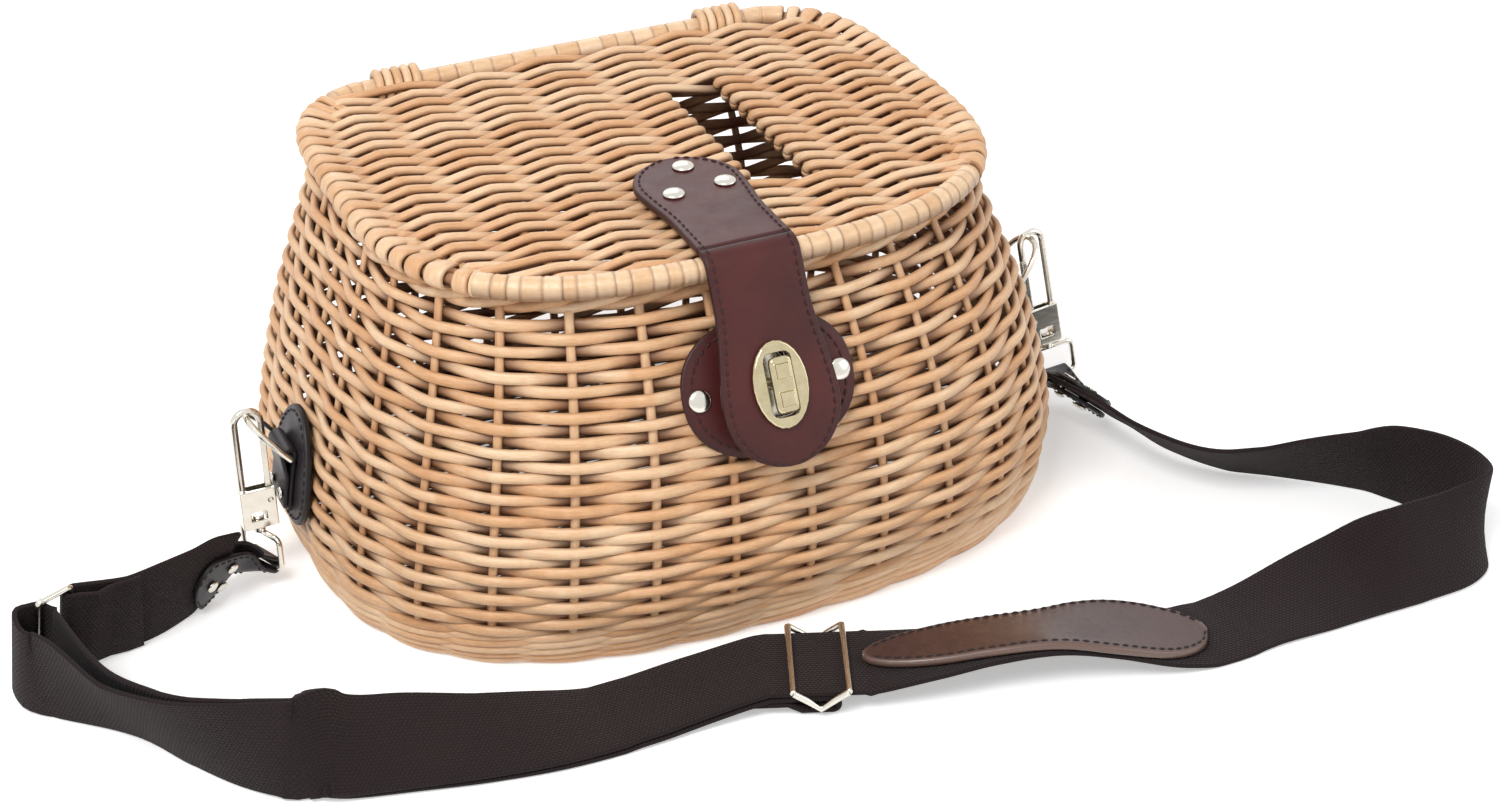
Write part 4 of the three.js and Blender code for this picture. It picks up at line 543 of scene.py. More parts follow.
# Rim: three rods laid round each other below the lid
def make_rim():
    rim = Bundle()
    steps = 560
    share = np.arange(steps) / steps
    plan, normal = wall_outline(RIM_Z, ROD_RADIUS).at(share)
    for strand in range(STRANDS):
        phase = 2 * np.pi * (share * RIM_TURNS + strand / STRANDS)
        shift = plan + normal * (RIM_SWING * np.cos(phase))[:, None]
        height = RIM_Z - SEAT + RIM_RISE * np.sin(phase)
        line = np.column_stack([shift, height])
        out = np.column_stack([normal, np.zeros(steps)])
        shade = np.clip(0.3 - 0.5 * np.cos(phase), 0, 1) * 0.6
        size = RIM_ROD + wobble(share, 0.2, (5, 9))
        rim.tube(line, out, size, None, 8, True, 0.35 + 0.25 * strand, shade)
    rim.build("rim_wale", WILLOW, "basket", "rim_border", "woven_willow")


def cross_rows(outline, y):
    """Half length of a plan outline at each y"""
    keep = outline.points[:, 0] > 0
    points = outline.points[keep]
    order = np.argsort(points[:, 1])
    return np.interp(y, points[order, 1], points[order, 0])


def make_base():
    base = Bundle()
    edge = wall_outline(4.0, 8.0)
    pitch, spacing, z, swing_z, size = 5.2, 33.0, 3.6, 1.5, 1.85
    front, back = edge.points[:, 1].min() + 3, edge.points[:, 1].max() - 3
    rows = int((back - front) / pitch)
    xs = np.arange(-5, 6) * spacing
    for k in range(rows + 1):
        y = front + (back - front) * k / rows
        half = cross_rows(edge, y)
        x = np.linspace(-half, half, 90)
        s = np.cos(np.pi * (x / spacing + k))
        line = np.column_stack([x, y + wobble(x / 200, 0.3), z + swing_z * s])
        # painted shade over the whole base, more where a row dips under a stake
        base.tube(line, UP, 2.85, size, 6, False, 0.2 + 0.6 * noise.random(), 0.7 - 0.2 * s)
    for x in xs:
        half = [y for y in np.linspace(front - 2, back + 2, 120) if cross_rows(edge, y) > abs(x)]
        if len(half) < 4:
            continue
        line = np.array([[x, y, z] for y in (half[0], 0, half[-1])])
        # a little painted shade on the base's stakes
        base.tube(line, UP, 2.4, 1.5, 6, False, noise.random(), 0.2)
    base.build("base_weave", WILLOW, "basket", "base_panel", "woven_willow")


# Lid: rows over front-to-back stakes, turning round the sides of the slot
LID_ROWS = 44
LID_IN = 2 * (ROD_RADIUS + SEAT)
LID_ROW_FRONT, LID_ROW_BACK = LID_Y - LID_FRONT + LID_IN, BACK_FLAT - LID_IN
LID_PITCH = (LID_ROW_BACK - LID_ROW_FRONT) / LID_ROWS
SLOT_X, SLOT_Y, SLOT_HALF, SLOT_LENGTH, SLOT_ROD = 40.0, -1.0, 13.0, 105.0, 4.0
SLOT_FRONT, SLOT_BACK = SLOT_Y - SLOT_LENGTH / 2, SLOT_Y + SLOT_LENGTH / 2
LID_STAKES = [share * LID_HALF for share in (-0.779, -0.554, -0.327, -0.088)]
LID_STAKES += [SLOT_X - SLOT_HALF - SLOT_ROD, SLOT_X + SLOT_HALF + SLOT_ROD]
LID_STAKES += [share * LID_HALF for share in (0.592, 0.789)]
SLOT_LEFT, SLOT_RIGHT = 4, 5
LID_SWING, LID_TURN, LID_TUCK = 3.2, 3.5, 2.3
ROD_WIDTH, ROD_THICK, CORE_ROD = 2.42, 2.1, 2.5
LID_STAKE_WIDTH, LID_STAKE_THICK = 2.1, 1.35


def woven_run(nodes, signs, turn_left, turn_right, y, step_y):
    """Row between end nodes; a turn of 0 tucks the row's end in, and one of 1 or -1 joins its neighbour"""
    reach = [LID_SWING] * len(nodes)
    reach[0] = LID_TURN if turn_left else LID_TUCK
    reach[-1] = LID_TURN if turn_right else LID_TUCK
    points, shade = [], []
    for i in range(len(nodes) - 1):
        a, b = signs[i] * reach[i], signs[i + 1] * reach[i + 1]
        for t in np.arange(8) / 8:
            w = 0.5 * (1 + math.cos(math.pi * t)) * 0.45 + (1 - t) * 0.55
            points.append([nodes[i] + t * (nodes[i + 1] - nodes[i]), y, a * w + b * (1 - w)])
            lift = signs[i] * w + signs[i + 1] * (1 - w)
            shade.append(min(max(0.2 - 0.7 * lift, 0), 1))
    points.append([nodes[-1], y, signs[-1] * reach[-1]])
    shade.append(0.3 - 0.3 * signs[-1])
    for at_left, turn in ((True, turn_left), (False, turn_right)):
        if not turn:
            continue
        sign = signs[0] if at_left else signs[-1]
        out = -1 if at_left else 1
        x0 = nodes[0] if at_left else nodes[-1]
        arc = []
        for a in np.linspace(0, math.pi / 2, 6)[1:]:
            s = math.sin(a)
            arc.append([x0 + out * LID_TURN * s, y + turn * step_y / 2 * s**2, sign * LID_TURN * math.cos(a)])
        points = arc[::-1] + points if at_left else points + arc
        shade = [0.08] * 5 + shade if at_left else shade + [0.08] * 5
    points = np.array(points)
    points[:, 2] += LID_Z
    return points, np.array(shade)


def make_lid():
    rods = Outline(lid_curve(ALL_ROUND), ROD_RADIUS)
    weave = Bundle()
    for k in range(LID_ROWS):
        y = LID_ROW_FRONT + LID_PITCH * (k + 0.5)
        half = cross_rows(rods, y) - 1.5
        inner = [(i, x) for i, x in enumerate(LID_STAKES) if abs(x) < half - 6]
        nodes = [(-1, -half)] + inner + [(len(LID_STAKES), half)]
        turn = 1 if k % 2 == 0 else -1
        if SLOT_FRONT < y < SLOT_BACK:
            runs = [([n for n in nodes if n[0] <= SLOT_LEFT], 0, turn)]
            runs.append(([n for n in nodes if n[0] >= SLOT_RIGHT], -turn, 0))
        else:
            runs = [(nodes, 0, 0)]
        for run, turn_left, turn_right in runs:
            xs = [x for _, x in run]
            signs = [1 if (i + k) % 2 == 0 else -1 for i, _ in run]
            line, shade = woven_run(xs, signs, turn_left, turn_right, y, LID_PITCH)
            line[:, 1] += wobble(line[:, 0] / 150, 0.4, (1, 2))
            width = ROD_WIDTH * (1 + wobble(line[:, 0] / 180, 0.08, (1, 2)))
            over = np.column_stack([np.zeros((len(line), 2)), np.ones(len(line))])
            for at_left, turned in ((True, turn_left), (False, turn_right)):
                if turned:
                    span = np.arange(5) if at_left else np.arange(len(line) - 5, len(line))
                    x0 = xs[0] if at_left else xs[-1]
                    over[span] = np.column_stack([line[span, 0] - x0, np.zeros(5), line[span, 2] - LID_Z])
            weave.tube(line, over, width, ROD_THICK, 8, False, 0.35 + 0.5 * noise.random(), shade)
    weave.build("lid_weave", WILLOW, "lid", "lid_panel", "woven_willow")

    ys = np.linspace(LID_ROW_FRONT - 3, LID_ROW_BACK + 3, 160)
    halves = cross_rows(rods, ys)
    for i, x in enumerate(LID_STAKES):
        stake = Bundle()
        inside = ys[halves > abs(x) + 1]
        line = np.array([[x, y, LID_Z] for y in np.linspace(inside[0], inside[-1], 12)])
        # painted shade on the lid's stakes
        stake.tube(line, UP, LID_STAKE_WIDTH, LID_STAKE_THICK, 8, False, noise.random(), 0.25)
        node = {SLOT_LEFT: "slot_rod_left", SLOT_RIGHT: "slot_rod_right"}.get(i, ())
        stake.build(f"lid_stake_{i + 1}", WILLOW_DARK, "lid", node, "willow_rod")


def angle_run(angles, inset):
    """Points on the lid's edge between two plan angles, moved in"""
    points = lid_curve(angles)
    t = units(np.gradient(points, axis=0))
    return points - np.stack([t[:, 1], -t[:, 0]], 1) * inset


def even(points, step):
    run = run_length(points)
    at = np.linspace(0, run[-1], max(int(run[-1] / step), 2) + 1)
    return sample(at, run, points), at


def angle_at_x(x, front):
    power = 2 / (LID_FRONT_POWER if front else LID_BACK_POWER)
    a = math.acos(min(abs(x) / LID_HALF, 1) ** (1 / power))
    a = a if x > 0 else math.pi - a
    return -a if front else a


def skein_rod(name, node, points, radius, pitch):
    """Rod wound with flat split willow: bands with fine grooves between them"""
    line, at = even(points, 0.55)
    edges = [0.0]
    while edges[-1] < at[-1]:
        edges.append(edges[-1] + pitch * (0.75 + 0.5 * noise.random()))
    edges = np.array(edges)
    band = np.searchsorted(edges, at, "right") - 1
    into = np.minimum(at - edges[band], edges[np.minimum(band + 1, len(edges) - 1)] - at)
    groove = np.exp(-np.clip(into, 0, None) / 0.35)
    tones = 0.35 + 0.6 * noise.random(len(edges))
    bundle = Bundle()
    width = radius * (1 - 0.1 * groove + 0.03 * np.sin(np.clip(into, 0, 3)))
    # painted shade in the grooves between the bands
    bundle.tube(line, UP, width, None, 16, False, tones[band], groove * 0.8)
    bundle.build(name, SKEIN, "lid", node, "willow_rod")


LID_CORNER = 28.0
RIB_TURN, RIB_THICK, RIB_IN, RIB_DROP = 4.1, 1.45, 14.0, 4.3


def end_ribs(side, sign):
    """The weave's flat turns round an end rod, side by side from one corner to the other"""
    start = LID_HALF - LID_CORNER
    plan = angle_run(np.linspace(angle_at_x(start, True), angle_at_x(start, False), 600), ROD_RADIUS)
    plan, at = even(plan, 1.0)
    ahead = units(np.gradient(plan, axis=0))
    flip = np.array([sign, 1, 1])
    core = Bundle()
    rod = np.column_stack([plan, np.full(len(plan), LID_Z)])
    # painted shade on the core rod under the ribs
    core.tube(rod * flip, UP, CORE_ROD, None, 8, False, 0.3, 0.6)
    # one rib for each row that comes up at this end, and more of them round the corners
    first = 1 if sign < 0 else len(LID_STAKES) % 2
    rows = [LID_ROW_FRONT + LID_PITCH * (k + 0.5) for k in range(first, LID_ROWS, 2)]
    marks = [LID_PITCH, *np.interp(rows, plan[:, 1], at), at[-1] - LID_PITCH]
    places = [0.0, LID_PITCH]
    for a, b in zip(marks, marks[1:]):
        more = int((b - a) / (2.7 * LID_PITCH))
        places += [a + (b - a) * j / (more + 1) for j in range(1, more + 2)]
    places.append(at[-1])
    for before, here, behind in zip(places, places[1:], places[2:]):
        middle, tangent = (sample([here], at, v)[0] for v in (plan, ahead))
        tangent = unit(tangent)
        outward = np.array([tangent[1], -tangent[0], 0.0])
        spots = [(-RIB_IN * (1 - t), RIB_TURN - RIB_DROP * (1 - t) ** 1.3, 0.0) for t in np.arange(6) / 6]
        spots += [(RIB_TURN * math.sin(w), RIB_TURN * math.cos(w), w) for w in np.linspace(0, math.pi, 11)]
        spots += [(-RIB_IN * t, -RIB_TURN + RIB_DROP * t**1.3, math.pi) for t in np.arange(1, 7) / 6]
        base = np.array([*middle, LID_Z])
        line = np.array([base + outward * a + UP * b for a, b, _ in spots])
        out = np.array([outward * math.sin(w) + UP * math.cos(w) for _, _, w in spots])
        spread = smooth_step(1 - np.abs(np.array([min(a, 0) for a, _, _ in spots])) / RIB_IN)
        wide = 2.0 + (0.225 * (behind - before) - 2.0) * spread
        core.tube(line * flip, out * flip, wide, RIB_THICK, 8, False, 0.4 + 0.45 * noise.random(), 0.0)
    core.build(f"lid_end_ribs_{side}", WILLOW, "lid", f"lid_end_rod_{side}", "willow_rod")


def make_lid_rods():
    start = LID_HALF - LID_CORNER
    for name, front, pitch in (("front", True, 7.5), ("back", False, 10.0)):
        left, right = angle_at_x(-start, front), angle_at_x(start, front)
        ends = (left, right) if front else (right, left)
        plan = angle_run(np.linspace(*ends, 400), ROD_RADIUS)
        line = np.column_stack([plan, np.full(len(plan), LID_Z)])
        skein_rod(f"lid_{name}_skein", f"lid_{name}_rod", line, ROD_RADIUS - 0.1, pitch)
    for side, sign in SIDES:
        end_ribs(side, sign)


LOOP_TURNS, LOOP_PITCH, SKEIN_WIDTH, SKEIN_THICK = 5, 4.6, 2.15, 1.95


def make_hinge_loops():
    turns, pitch, steps = LOOP_TURNS, LOOP_PITCH, 26
    reach = ROD_RADIUS + RUN + 2.0
    rise = LID_Z - RIM_Z
    arc = math.pi * reach
    total = 2 * rise + 2 * arc
    for side, x0 in (("left", -HINGE_X), ("right", HINGE_X)):
        line, out, tone = [], [], []
        for i in range(turns * steps + 1):
            turn = i / steps
            s = (turn % 1) * total
            if s < rise:
                y, z, n = HINGE_Y - reach, RIM_Z + s, (0, -1, 0)
            elif s < rise + arc:
                a = (s - rise) / reach
                y, z = HINGE_Y - reach * math.cos(a), LID_Z + reach * math.sin(a)
                n = (0, -math.cos(a), math.sin(a))
            elif s < 2 * rise + arc:
                y, z, n = HINGE_Y + reach, LID_Z - (s - rise - arc), (0, 1, 0)
            else:
                a = (s - 2 * rise - arc) / reach
                y, z = HINGE_Y + reach * math.cos(a), RIM_Z - reach * math.sin(a)
                n = (0, math.cos(a), -math.sin(a))
            line.append([x0 + (turn - turns / 2) * pitch, y, z])
            out.append(n)
            tone.append(0.35 + 0.5 * ((i // steps) % 2) + 0.1 * math.sin(turn * 5))
        loop = Bundle()
        loop.tube(line, np.array(out, float), SKEIN_WIDTH, SKEIN_THICK, 10, False, tone, 0.0)
        loop.build(f"hinge_binding_{side}", SKEIN, "basket", f"hinge_loop_{side}", "willow_rod")


make_wall()
make_foot()
make_rim()
make_base()
make_lid()
make_lid_rods()
make_hinge_loops()


# Flat pieces with rounded edges, along stations of place, direction across, normal and half width
def round_section(half, thickness, corner):
    corner = min(corner, thickness / 2 - 0.01, half * 0.9)
    flat, rise = half - corner, thickness / 2 - corner
    xs, turns = np.linspace(-flat, flat, 7), np.linspace(0, math.pi / 2, 5)
    top = [(x, thickness / 2) for x in xs]
    right = [(flat + corner * math.sin(a), rise + corner * math.cos(a)) for a in turns[1:]]
    right += [(flat + corner * math.cos(a), -rise - corner * math.sin(a)) for a in turns[:-1]]
    bottom = [(x, -thickness / 2) for x in xs[::-1]]
    return np.array(top + right + bottom + [(-x, z) for x, z in right[::-1]])


def strap(name, stations, thickness, corner, material, body, replaces=(), slot=None):
    """stations: rows of (place, across, normal, half width)"""
    points, values = [], []
    along = run_length(np.array([p for p, _, _, _ in stations]))
    for (p, w, n, half), run in zip(stations, along):
        shape = round_section(half, thickness, corner)
        points.append(p + shape[:, :1] * w + shape[:, 1:] * n)
        edge = half - np.abs(shape[:, 0])
        values.append(np.stack([np.full(len(shape), run), shape[:, 0], edge], 1))
    faces = ring_faces(len(points), len(points[0]))
    along, across, edge = np.concatenate(values).T
    ends = np.minimum(along, along.max() - along)
    columns = {"along": along, "across": across, "edge": np.minimum(edge, ends)}
    return piece(name, np.concatenate(points), faces, material, body, replaces, slot, columns)


# Stitches: short raised lengths of thread along a path on a face
def stitching(name, paths, material, body, pitch=4.2, share=0.72, size=0.55):
    bundle = Bundle()
    lift = np.array([-0.35, 0.25, 0.4, 0.25, -0.35]) * size
    for path, normals in paths:
        line, at = even(np.column_stack([path, normals]), 0.4)
        count = max(int(at[-1] / pitch), 1)
        gap = at[-1] / count
        for i in range(count):
            spots = sample(np.linspace(i + (1 - share) / 2, i + (1 + share) / 2, 5) * gap, at, line)
            p, n = spots[:, :3], spots[:, 3:]
            bundle.tube(p + n * lift[:, None], n, size * np.array([0.5, 0.9, 1, 0.9, 0.5]), None, 6)
    return bundle.build(name, material, body)


# Places on the basket's wall
def front_point(x, z):
    share = 1 - (abs(x) / body_half(z)) ** FRONT_POWER
    return np.array([x, -body_front(z) * share ** (1 / FRONT_POWER), z])


def side_point(y, z):
    depth, power = (body_front(z), FRONT_POWER) if y < 0 else (BODY_BACK, BACK_POWER)
    share = 1 - (abs(y) / depth) ** power
    return np.array([body_half(z) * share ** (1 / power), y, z])


def surface_normal(surface, s, t):
    a = surface(s + 1, t) - surface(s - 1, t)
    b = surface(s, t + 1) - surface(s, t - 1)
    return unit(np.cross(a, b))


LATCH_X, LATCH_T, LOCK_WALL_Z = -5.0, 3.5, 127.0
LOBE, LOBE_HALF, WAIST, HEAD = 61.5, 26.5, 21.5, 24.5
HEAD_Y, NECK_Y, LOCK_DROP = -30.0, -90.0, 53.0
SLOT_IN_FLAP, LATCH_CORNER, LATCH_SEAM = (6.5, 14.0), 1.1, 3.0
BEND = np.array([LATCH_X, LID_Y - LID_FRONT + ROD_RADIUS, LID_Z])
BEND_RADIUS = ROD_RADIUS + RUN + LATCH_T / 2
LOCK_N = unit(surface_normal(front_point, LATCH_X, LOCK_WALL_Z) * [0, 1, 1])
LOCK_UP = np.array([0.0, LOCK_N[2], -LOCK_N[1]])
BEND_ANGLE = math.acos(LOCK_N[2])
FLAP_TOP = BEND + LOCK_N * BEND_RADIUS
LOCK = FLAP_TOP - LOCK_UP * LOCK_DROP


def upper_stations():
    widest = HEAD_Y - HEAD
    turns = np.linspace(0.12, math.pi / 2, 18)
    rows = [(HEAD_Y - HEAD * (1 - math.cos(a)), HEAD * math.sin(a)) for a in turns]
    for t in np.linspace(0, 1, 14)[1:]:
        rows.append((widest + t * (NECK_Y - widest), HEAD + (WAIST - HEAD) * smooth_step(t)))
    rows += [(y, WAIST) for y in np.linspace(NECK_Y, BEND[1] + SEAT, 8)[1:]]
    return [(np.array([LATCH_X, y, BEND[2] + BEND_RADIUS]), RIGHT, UP, half) for y, half in rows]


def flap_half(s):
    if s > LOBE:
        return LOBE_HALF * math.sqrt(max(1 - ((s - LOBE) / LOBE_HALF) ** 2, 0.012))
    return WAIST + (LOBE_HALF - WAIST) * float(smooth_step((s - LOBE / 4) / (LOBE * 0.75)))


def flap_stations():
    rows = []
    for a in np.linspace(0, BEND_ANGLE, 16):
        n = np.array([0, -math.sin(a), math.cos(a)])
        rows.append((BEND + n * BEND_RADIUS, RIGHT, n, WAIST))
    for s in np.linspace(0, LOBE, 22)[1:]:
        rows.append((FLAP_TOP - LOCK_UP * s, RIGHT, LOCK_N, flap_half(s)))
    for a in np.linspace(0, math.pi / 2, 18)[1:]:
        s = LOBE + LOBE_HALF * math.sin(a) * 0.995
        rows.append((FLAP_TOP - LOCK_UP * s, RIGHT, LOCK_N, flap_half(s)))
    return rows


def edge_paths(stations, inset, height, least):
    """Seams along both edges, where the half width is more than the least one"""
    rows = [row for row in stations if row[3] > least]
    normals = np.array([n for _, _, n, _ in rows])
    sides = ([p + w * s * (half - inset) + n * height for p, w, n, half in rows] for s in (-1, 1))
    return [(np.array(path), normals) for path in sides]


def slot_prism(half_x, half_z, depth):
    r = half_x * 0.55
    x, z = half_x - r, half_z - r
    rows = []
    for (cx, cz), start in zip(((x, z), (-x, z), (-x, -z), (x, -z)), (0, 90, 180, 270)):
        for a in np.radians(np.linspace(start, start + 90, 6)):
            rows.append(RIGHT * (cx + r * math.cos(a)) + LOCK_UP * (cz + r * math.sin(a)))
    both = [LOCK + row + LOCK_N * d for d in (-depth, depth) for row in rows]
    mesh = bpy.data.meshes.new("slot_cutter")
    mesh.from_pydata([list(p * MM) for p in both], [], ring_faces(2, len(rows)))
    made = linked("slot_cutter", mesh)
    turn_out(made)
    return made


def make_latch():
    upper = ("upper", upper_stations(), "lid", "latch_strap")
    lower = ("lower", flap_stations(), "latch_flap", "latch_flap")
    for name, rows, body, node in (upper, lower):
        made = strap(f"latch_{name}", rows, LATCH_T, LATCH_CORNER, BURGUNDY, body, node, "burgundy_leather")
        if name == "lower":
            cut(made, slot_prism(*SLOT_IN_FLAP, 20.0))
        stitching(f"latch_{name}_stitches", edge_paths(rows, LATCH_SEAM, LATCH_T / 2, 4.8), THREAD, body)


make_latch()


# Leather patches that follow the wall
PATCH_THICK, PATCH_CORNER, PATCH_RINGS, PATCH_SIDES = 3.0, 0.9, 12, 72
LOCK_PATCH, SIDE_PATCH, SIDE_PATCH_Z = (39, 27, 2.3), (24, 27, 2.4), 58.0


def patch_layers(half):
    """Outer face, round edge and inner face, as shares of the half width and offsets from the wall"""
    corner, top = PATCH_CORNER / half, SEAT + PATCH_THICK
    rows = [(i / PATCH_RINGS * (1 - corner), top) for i in range(1, PATCH_RINGS + 1)]
    for a in np.linspace(0, math.pi / 2, 5)[1:]:
        rows.append((1 - corner * (1 - math.sin(a)), top - PATCH_CORNER * (1 - math.cos(a))))
    for a in np.linspace(0, math.pi / 2, 4):
        rows.append((1 - corner * (1 - math.cos(a)), SEAT + PATCH_CORNER * (1 - math.sin(a))))
    return rows + [(i / PATCH_RINGS * (1 - corner), SEAT) for i in range(PATCH_RINGS - 1, 0, -1)]


def patch(name, node, surface, centre, size, shape, sign, material, slot, thread, seam):
    """size: half width, half height and the power of the outline's curve"""
    half_s, half_t, power = size

    def place(r, a, offset):
        c, s = math.cos(a), math.sin(a)
        t = half_t * r * np.sign(s) * abs(s) ** (2 / power)
        u = half_s * r * np.sign(c) * abs(c) ** (2 / power) * shape(t / half_t)
        spot = (centre[0] + u, centre[1] + t)
        return (surface(*spot) + surface_normal(surface, *spot) * offset) * np.array([sign, 1, 1])
    sides, top, small = PATCH_SIDES, SEAT + PATCH_THICK, min(half_s, half_t)
    layers = patch_layers(half_s)
    angles = 2 * np.pi * np.arange(sides) / sides
    points = [place(r, a, offset) for r, offset in layers for a in angles]
    points = [place(0, 0, top), *points, place(0, 0, SEAT)]
    edge = [half_s, *((1 - r) * small for r, _ in layers for _ in angles), half_s]
    faces = [tuple(1 + i for i in face) for face in ring_faces(len(layers), sides)[:-2]]
    first, last = 1, 1 + (len(layers) - 1) * sides
    for j in range(sides):
        faces.append((0, first + j, first + (j + 1) % sides))
        faces.append((last + j, len(points) - 1, last + (j + 1) % sides))
    piece(name, points, faces, material, "basket", node, slot, {"edge": edge})
    around, inset = np.linspace(0, 2 * math.pi, 160), 1 - seam / small
    normals = np.array([unit(place(inset, a, 5.0) - place(inset, a, 0.0)) for a in around])
    path = np.array([place(inset, a, top) for a in around])
    stitching(name + "_stitches", [(path, normals)], thread, "basket")


def pear(t):
    return 1 - 0.22 * t - 0.1 * t * t


patch("lock_patch_leather", "lock_patch", front_point, (LATCH_X, LOCK_WALL_Z), LOCK_PATCH,
      lambda t: 1.0, 1, BURGUNDY, "burgundy_leather", THREAD, 3.0)
for side, sign in SIDES:
    patch(f"side_leather_{side}", f"side_patch_{side}", side_point, (0.0, SIDE_PATCH_Z), SIDE_PATCH,
          pear, sign, BLACK, "black_leather", BLACK_THREAD, 2.6)


# Turned pieces: rings of (radius, height) about an axis
def turned(name, at, axis, profile, material, body, node, slot, sides=28):
    axis = unit(axis)
    a = unit(np.cross(axis, [0.31, 0.2, 0.93]))
    b = np.cross(axis, a)
    points = []
    for r, h in profile:
        for w in 2 * np.pi * np.arange(sides) / sides:
            points.append(np.asarray(at) + axis * h + (a * math.cos(w) + b * math.sin(w)) * r)
    return piece(name, points, ring_faces(len(profile), sides), material, body, node, slot)


# Grip, head radius and head height of each kind of rivet
RIVETS = {
    "latch": (12.9, 5.0, 2.2), "patch": (12.2, 5.0, 2.2),
    "keeper": (17.1, 2.8, 1.6), "tab": (9.2, 3.0, 1.6),
}


def rivet(kind, which, at, axis, body):
    name = f"{kind}_rivet_{which}"
    grip, radius, height = RIVETS[kind]
    tail, shank = 3.0, 1.5
    profile = [(tail, -grip - 1), (tail, -grip), (shank, -grip), (shank, 0)]
    profile += [(radius * 0.96, 0.02), (radius, 0.25 * height)]
    for t in np.linspace(0.1, 1, 8):
        a = t * math.pi / 2
        profile.append((radius * 0.97 * math.cos(a) + 0.01, (0.3 + 0.7 * math.sin(a)) * height))
    turned(name + "_head", at, axis, profile, NICKEL, body, name, "nickel_plate")


KEEPER_IN, KEEPER_TURN, KEEPER_CLOSE, KEEPER_HALF, KEEPER_THICK = 4.6, 3.0, 6.9, 10.5, 2.0
RING_BAR_Z, KEEPER_PINCH, KEEPER_FOOT, KEEPER_RIVET_Z = 68.0, 11.0, 40.0, 47.0
THIN_CORNER = 0.7
LATCH_RIVETS, PATCH_RIVET_X, KEEPER_RIVET_Y = ((-2, -41), (9, -62), (-16, -64)), 32, 7


def make_rivets():
    for i, (x, y) in enumerate(LATCH_RIVETS):
        top = LID_Z + BEND_RADIUS + LATCH_T / 2 + SEAT / 2
        rivet("latch", i + 1, (x, y, top), UP, "lid")
    for i, over in enumerate((-PATCH_RIVET_X, PATCH_RIVET_X)):
        axis = surface_normal(front_point, LATCH_X + over, LOCK_WALL_Z)
        seat = front_point(LATCH_X + over, LOCK_WALL_Z) + axis * (PATCH_THICK + 2 * SEAT)
        rivet("patch", i + 1, seat, axis, "basket")
    for side, sign in SIDES:
        axis = surface_normal(side_point, 0, KEEPER_RIVET_Z)
        seat = side_point(0, KEEPER_RIVET_Z) + axis * (KEEPER_CLOSE + KEEPER_THICK / 2 + 2 * SEAT)
        for i, y in enumerate((-KEEPER_RIVET_Y, KEEPER_RIVET_Y)):
            place = np.array([sign * seat[0], y, seat[2]])
            rivet("keeper", f"{side}_{i + 1}", place, axis * [sign, 1, 1], "basket")


make_rivets()


# Cast and pressed metal keeps its solid, with its edges softened
def soften(node, material, voxel, rounds=2):
    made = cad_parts[node]
    made.data.materials.clear()
    made.data.materials.append(material)
    m = made.modifiers.new("remesh", "REMESH")
    m.mode, m.voxel_size, m.use_smooth_shade = "VOXEL", voxel * MM, True
    s = made.modifiers.new("smooth", "SMOOTH")
    s.factor, s.iterations = 0.5, rounds


ON_EACH_SIDE = {"snap_hook": 0.32, "hook_gate": 0.25, "gate_pin": 0.25, "swivel_eye": 0.3, "dee_ring": 0.3}
for side, _ in SIDES:
    for node, voxel in ON_EACH_SIDE.items():
        soften(f"{node}_{side}", NICKEL, voxel)
for node in ("adjust_ring", "strap_slide"):
    soften(node, NICKEL, 0.35)
soften("turn_button", BRASS, 0.22, 1)
soften("lock_plate", BRASS, 0.22, 1)
soften("lock_base", NICKEL, 0.25, 1)
soften("lock_back_plate", NICKEL, 0.2, 1)


# Leather keepers round the dee rings' bars
BAR_X = side_point(0, RING_BAR_Z)[0] + KEEPER_IN + KEEPER_TURN


def make_keeper(side, sign):
    end = lambda z: side_point(0, z)[0]
    points = [[end(z) + KEEPER_IN, 0, z] for z in np.linspace(KEEPER_FOOT, RING_BAR_Z, 12)]
    for a in np.linspace(math.pi, 0, 18)[1:]:
        points.append([BAR_X + KEEPER_TURN * math.cos(a), 0, RING_BAR_Z + KEEPER_TURN * math.sin(a)])
    drop = RING_BAR_Z - KEEPER_PINCH / 2
    points.append([end(drop) + (KEEPER_IN + 2 * KEEPER_TURN + KEEPER_CLOSE) / 2, 0, drop])
    for z in np.linspace(RING_BAR_Z - KEEPER_PINCH, KEEPER_FOOT + 2, 6):
        points.append([end(z) + KEEPER_CLOSE, 0, z])
    points, _ = even(np.array(points), 1.4)
    rows = []
    for p, d in zip(points, units(np.gradient(points, axis=0))):
        n = np.array([d[2], 0, -d[0]])
        rows.append((p * [sign, 1, 1], np.array([0, 1.0, 0]), n * [sign, 1, 1], KEEPER_HALF))
    node = f"ring_keeper_{side}"
    strap(f"keeper_leather_{side}", rows, KEEPER_THICK, THIN_CORNER, BLACK, "basket", node, "black_leather")


for side, sign in SIDES:
    make_keeper(side, sign)


# Strap: stations chosen one by one, as shares of its spread, its reach in front and its
# width, then the direction across it
LEFT_SHARES = [
    (-0.664, -0.024, 0.31, -0.13, -0.62, 0.78),
    (-0.705, -0.057, 0.4, -0.13, -0.48, 0.86),
    (-0.745, -0.09, 0.45, -0.13, -0.38, 0.91),
    (-0.82, -0.127, 0.478, -0.15, -0.27, 0.95),
]
FRONT_SHARES = [
    (-0.895, -0.414, 0.444, -0.16, -0.51, 0.85),
    (-0.841, -0.52, 0.489, -0.13, -0.33, 0.93),
    (-0.775, -0.604, 0.511, 0.09, -0.13, 0.99),
    (-0.72, -0.649, 0.511, 0.16, 0.13, 0.98),
    (-0.645, -0.638, 0.267, 0.38, 0.78, 0.49),
    (-0.569, -0.655, 0.233, 0.22, 0.88, 0.42),
    (-0.473, -0.678, 0.144, 0.29, 0.93, 0.24),
    (-0.377, -0.694, 0.078, 0.33, 0.94, 0.11),
    (-0.27, -0.694, 0.1, 0.38, 0.93, 0),
    (-0.167, -0.692, 0.15, 0.38, 0.92, 0),
]
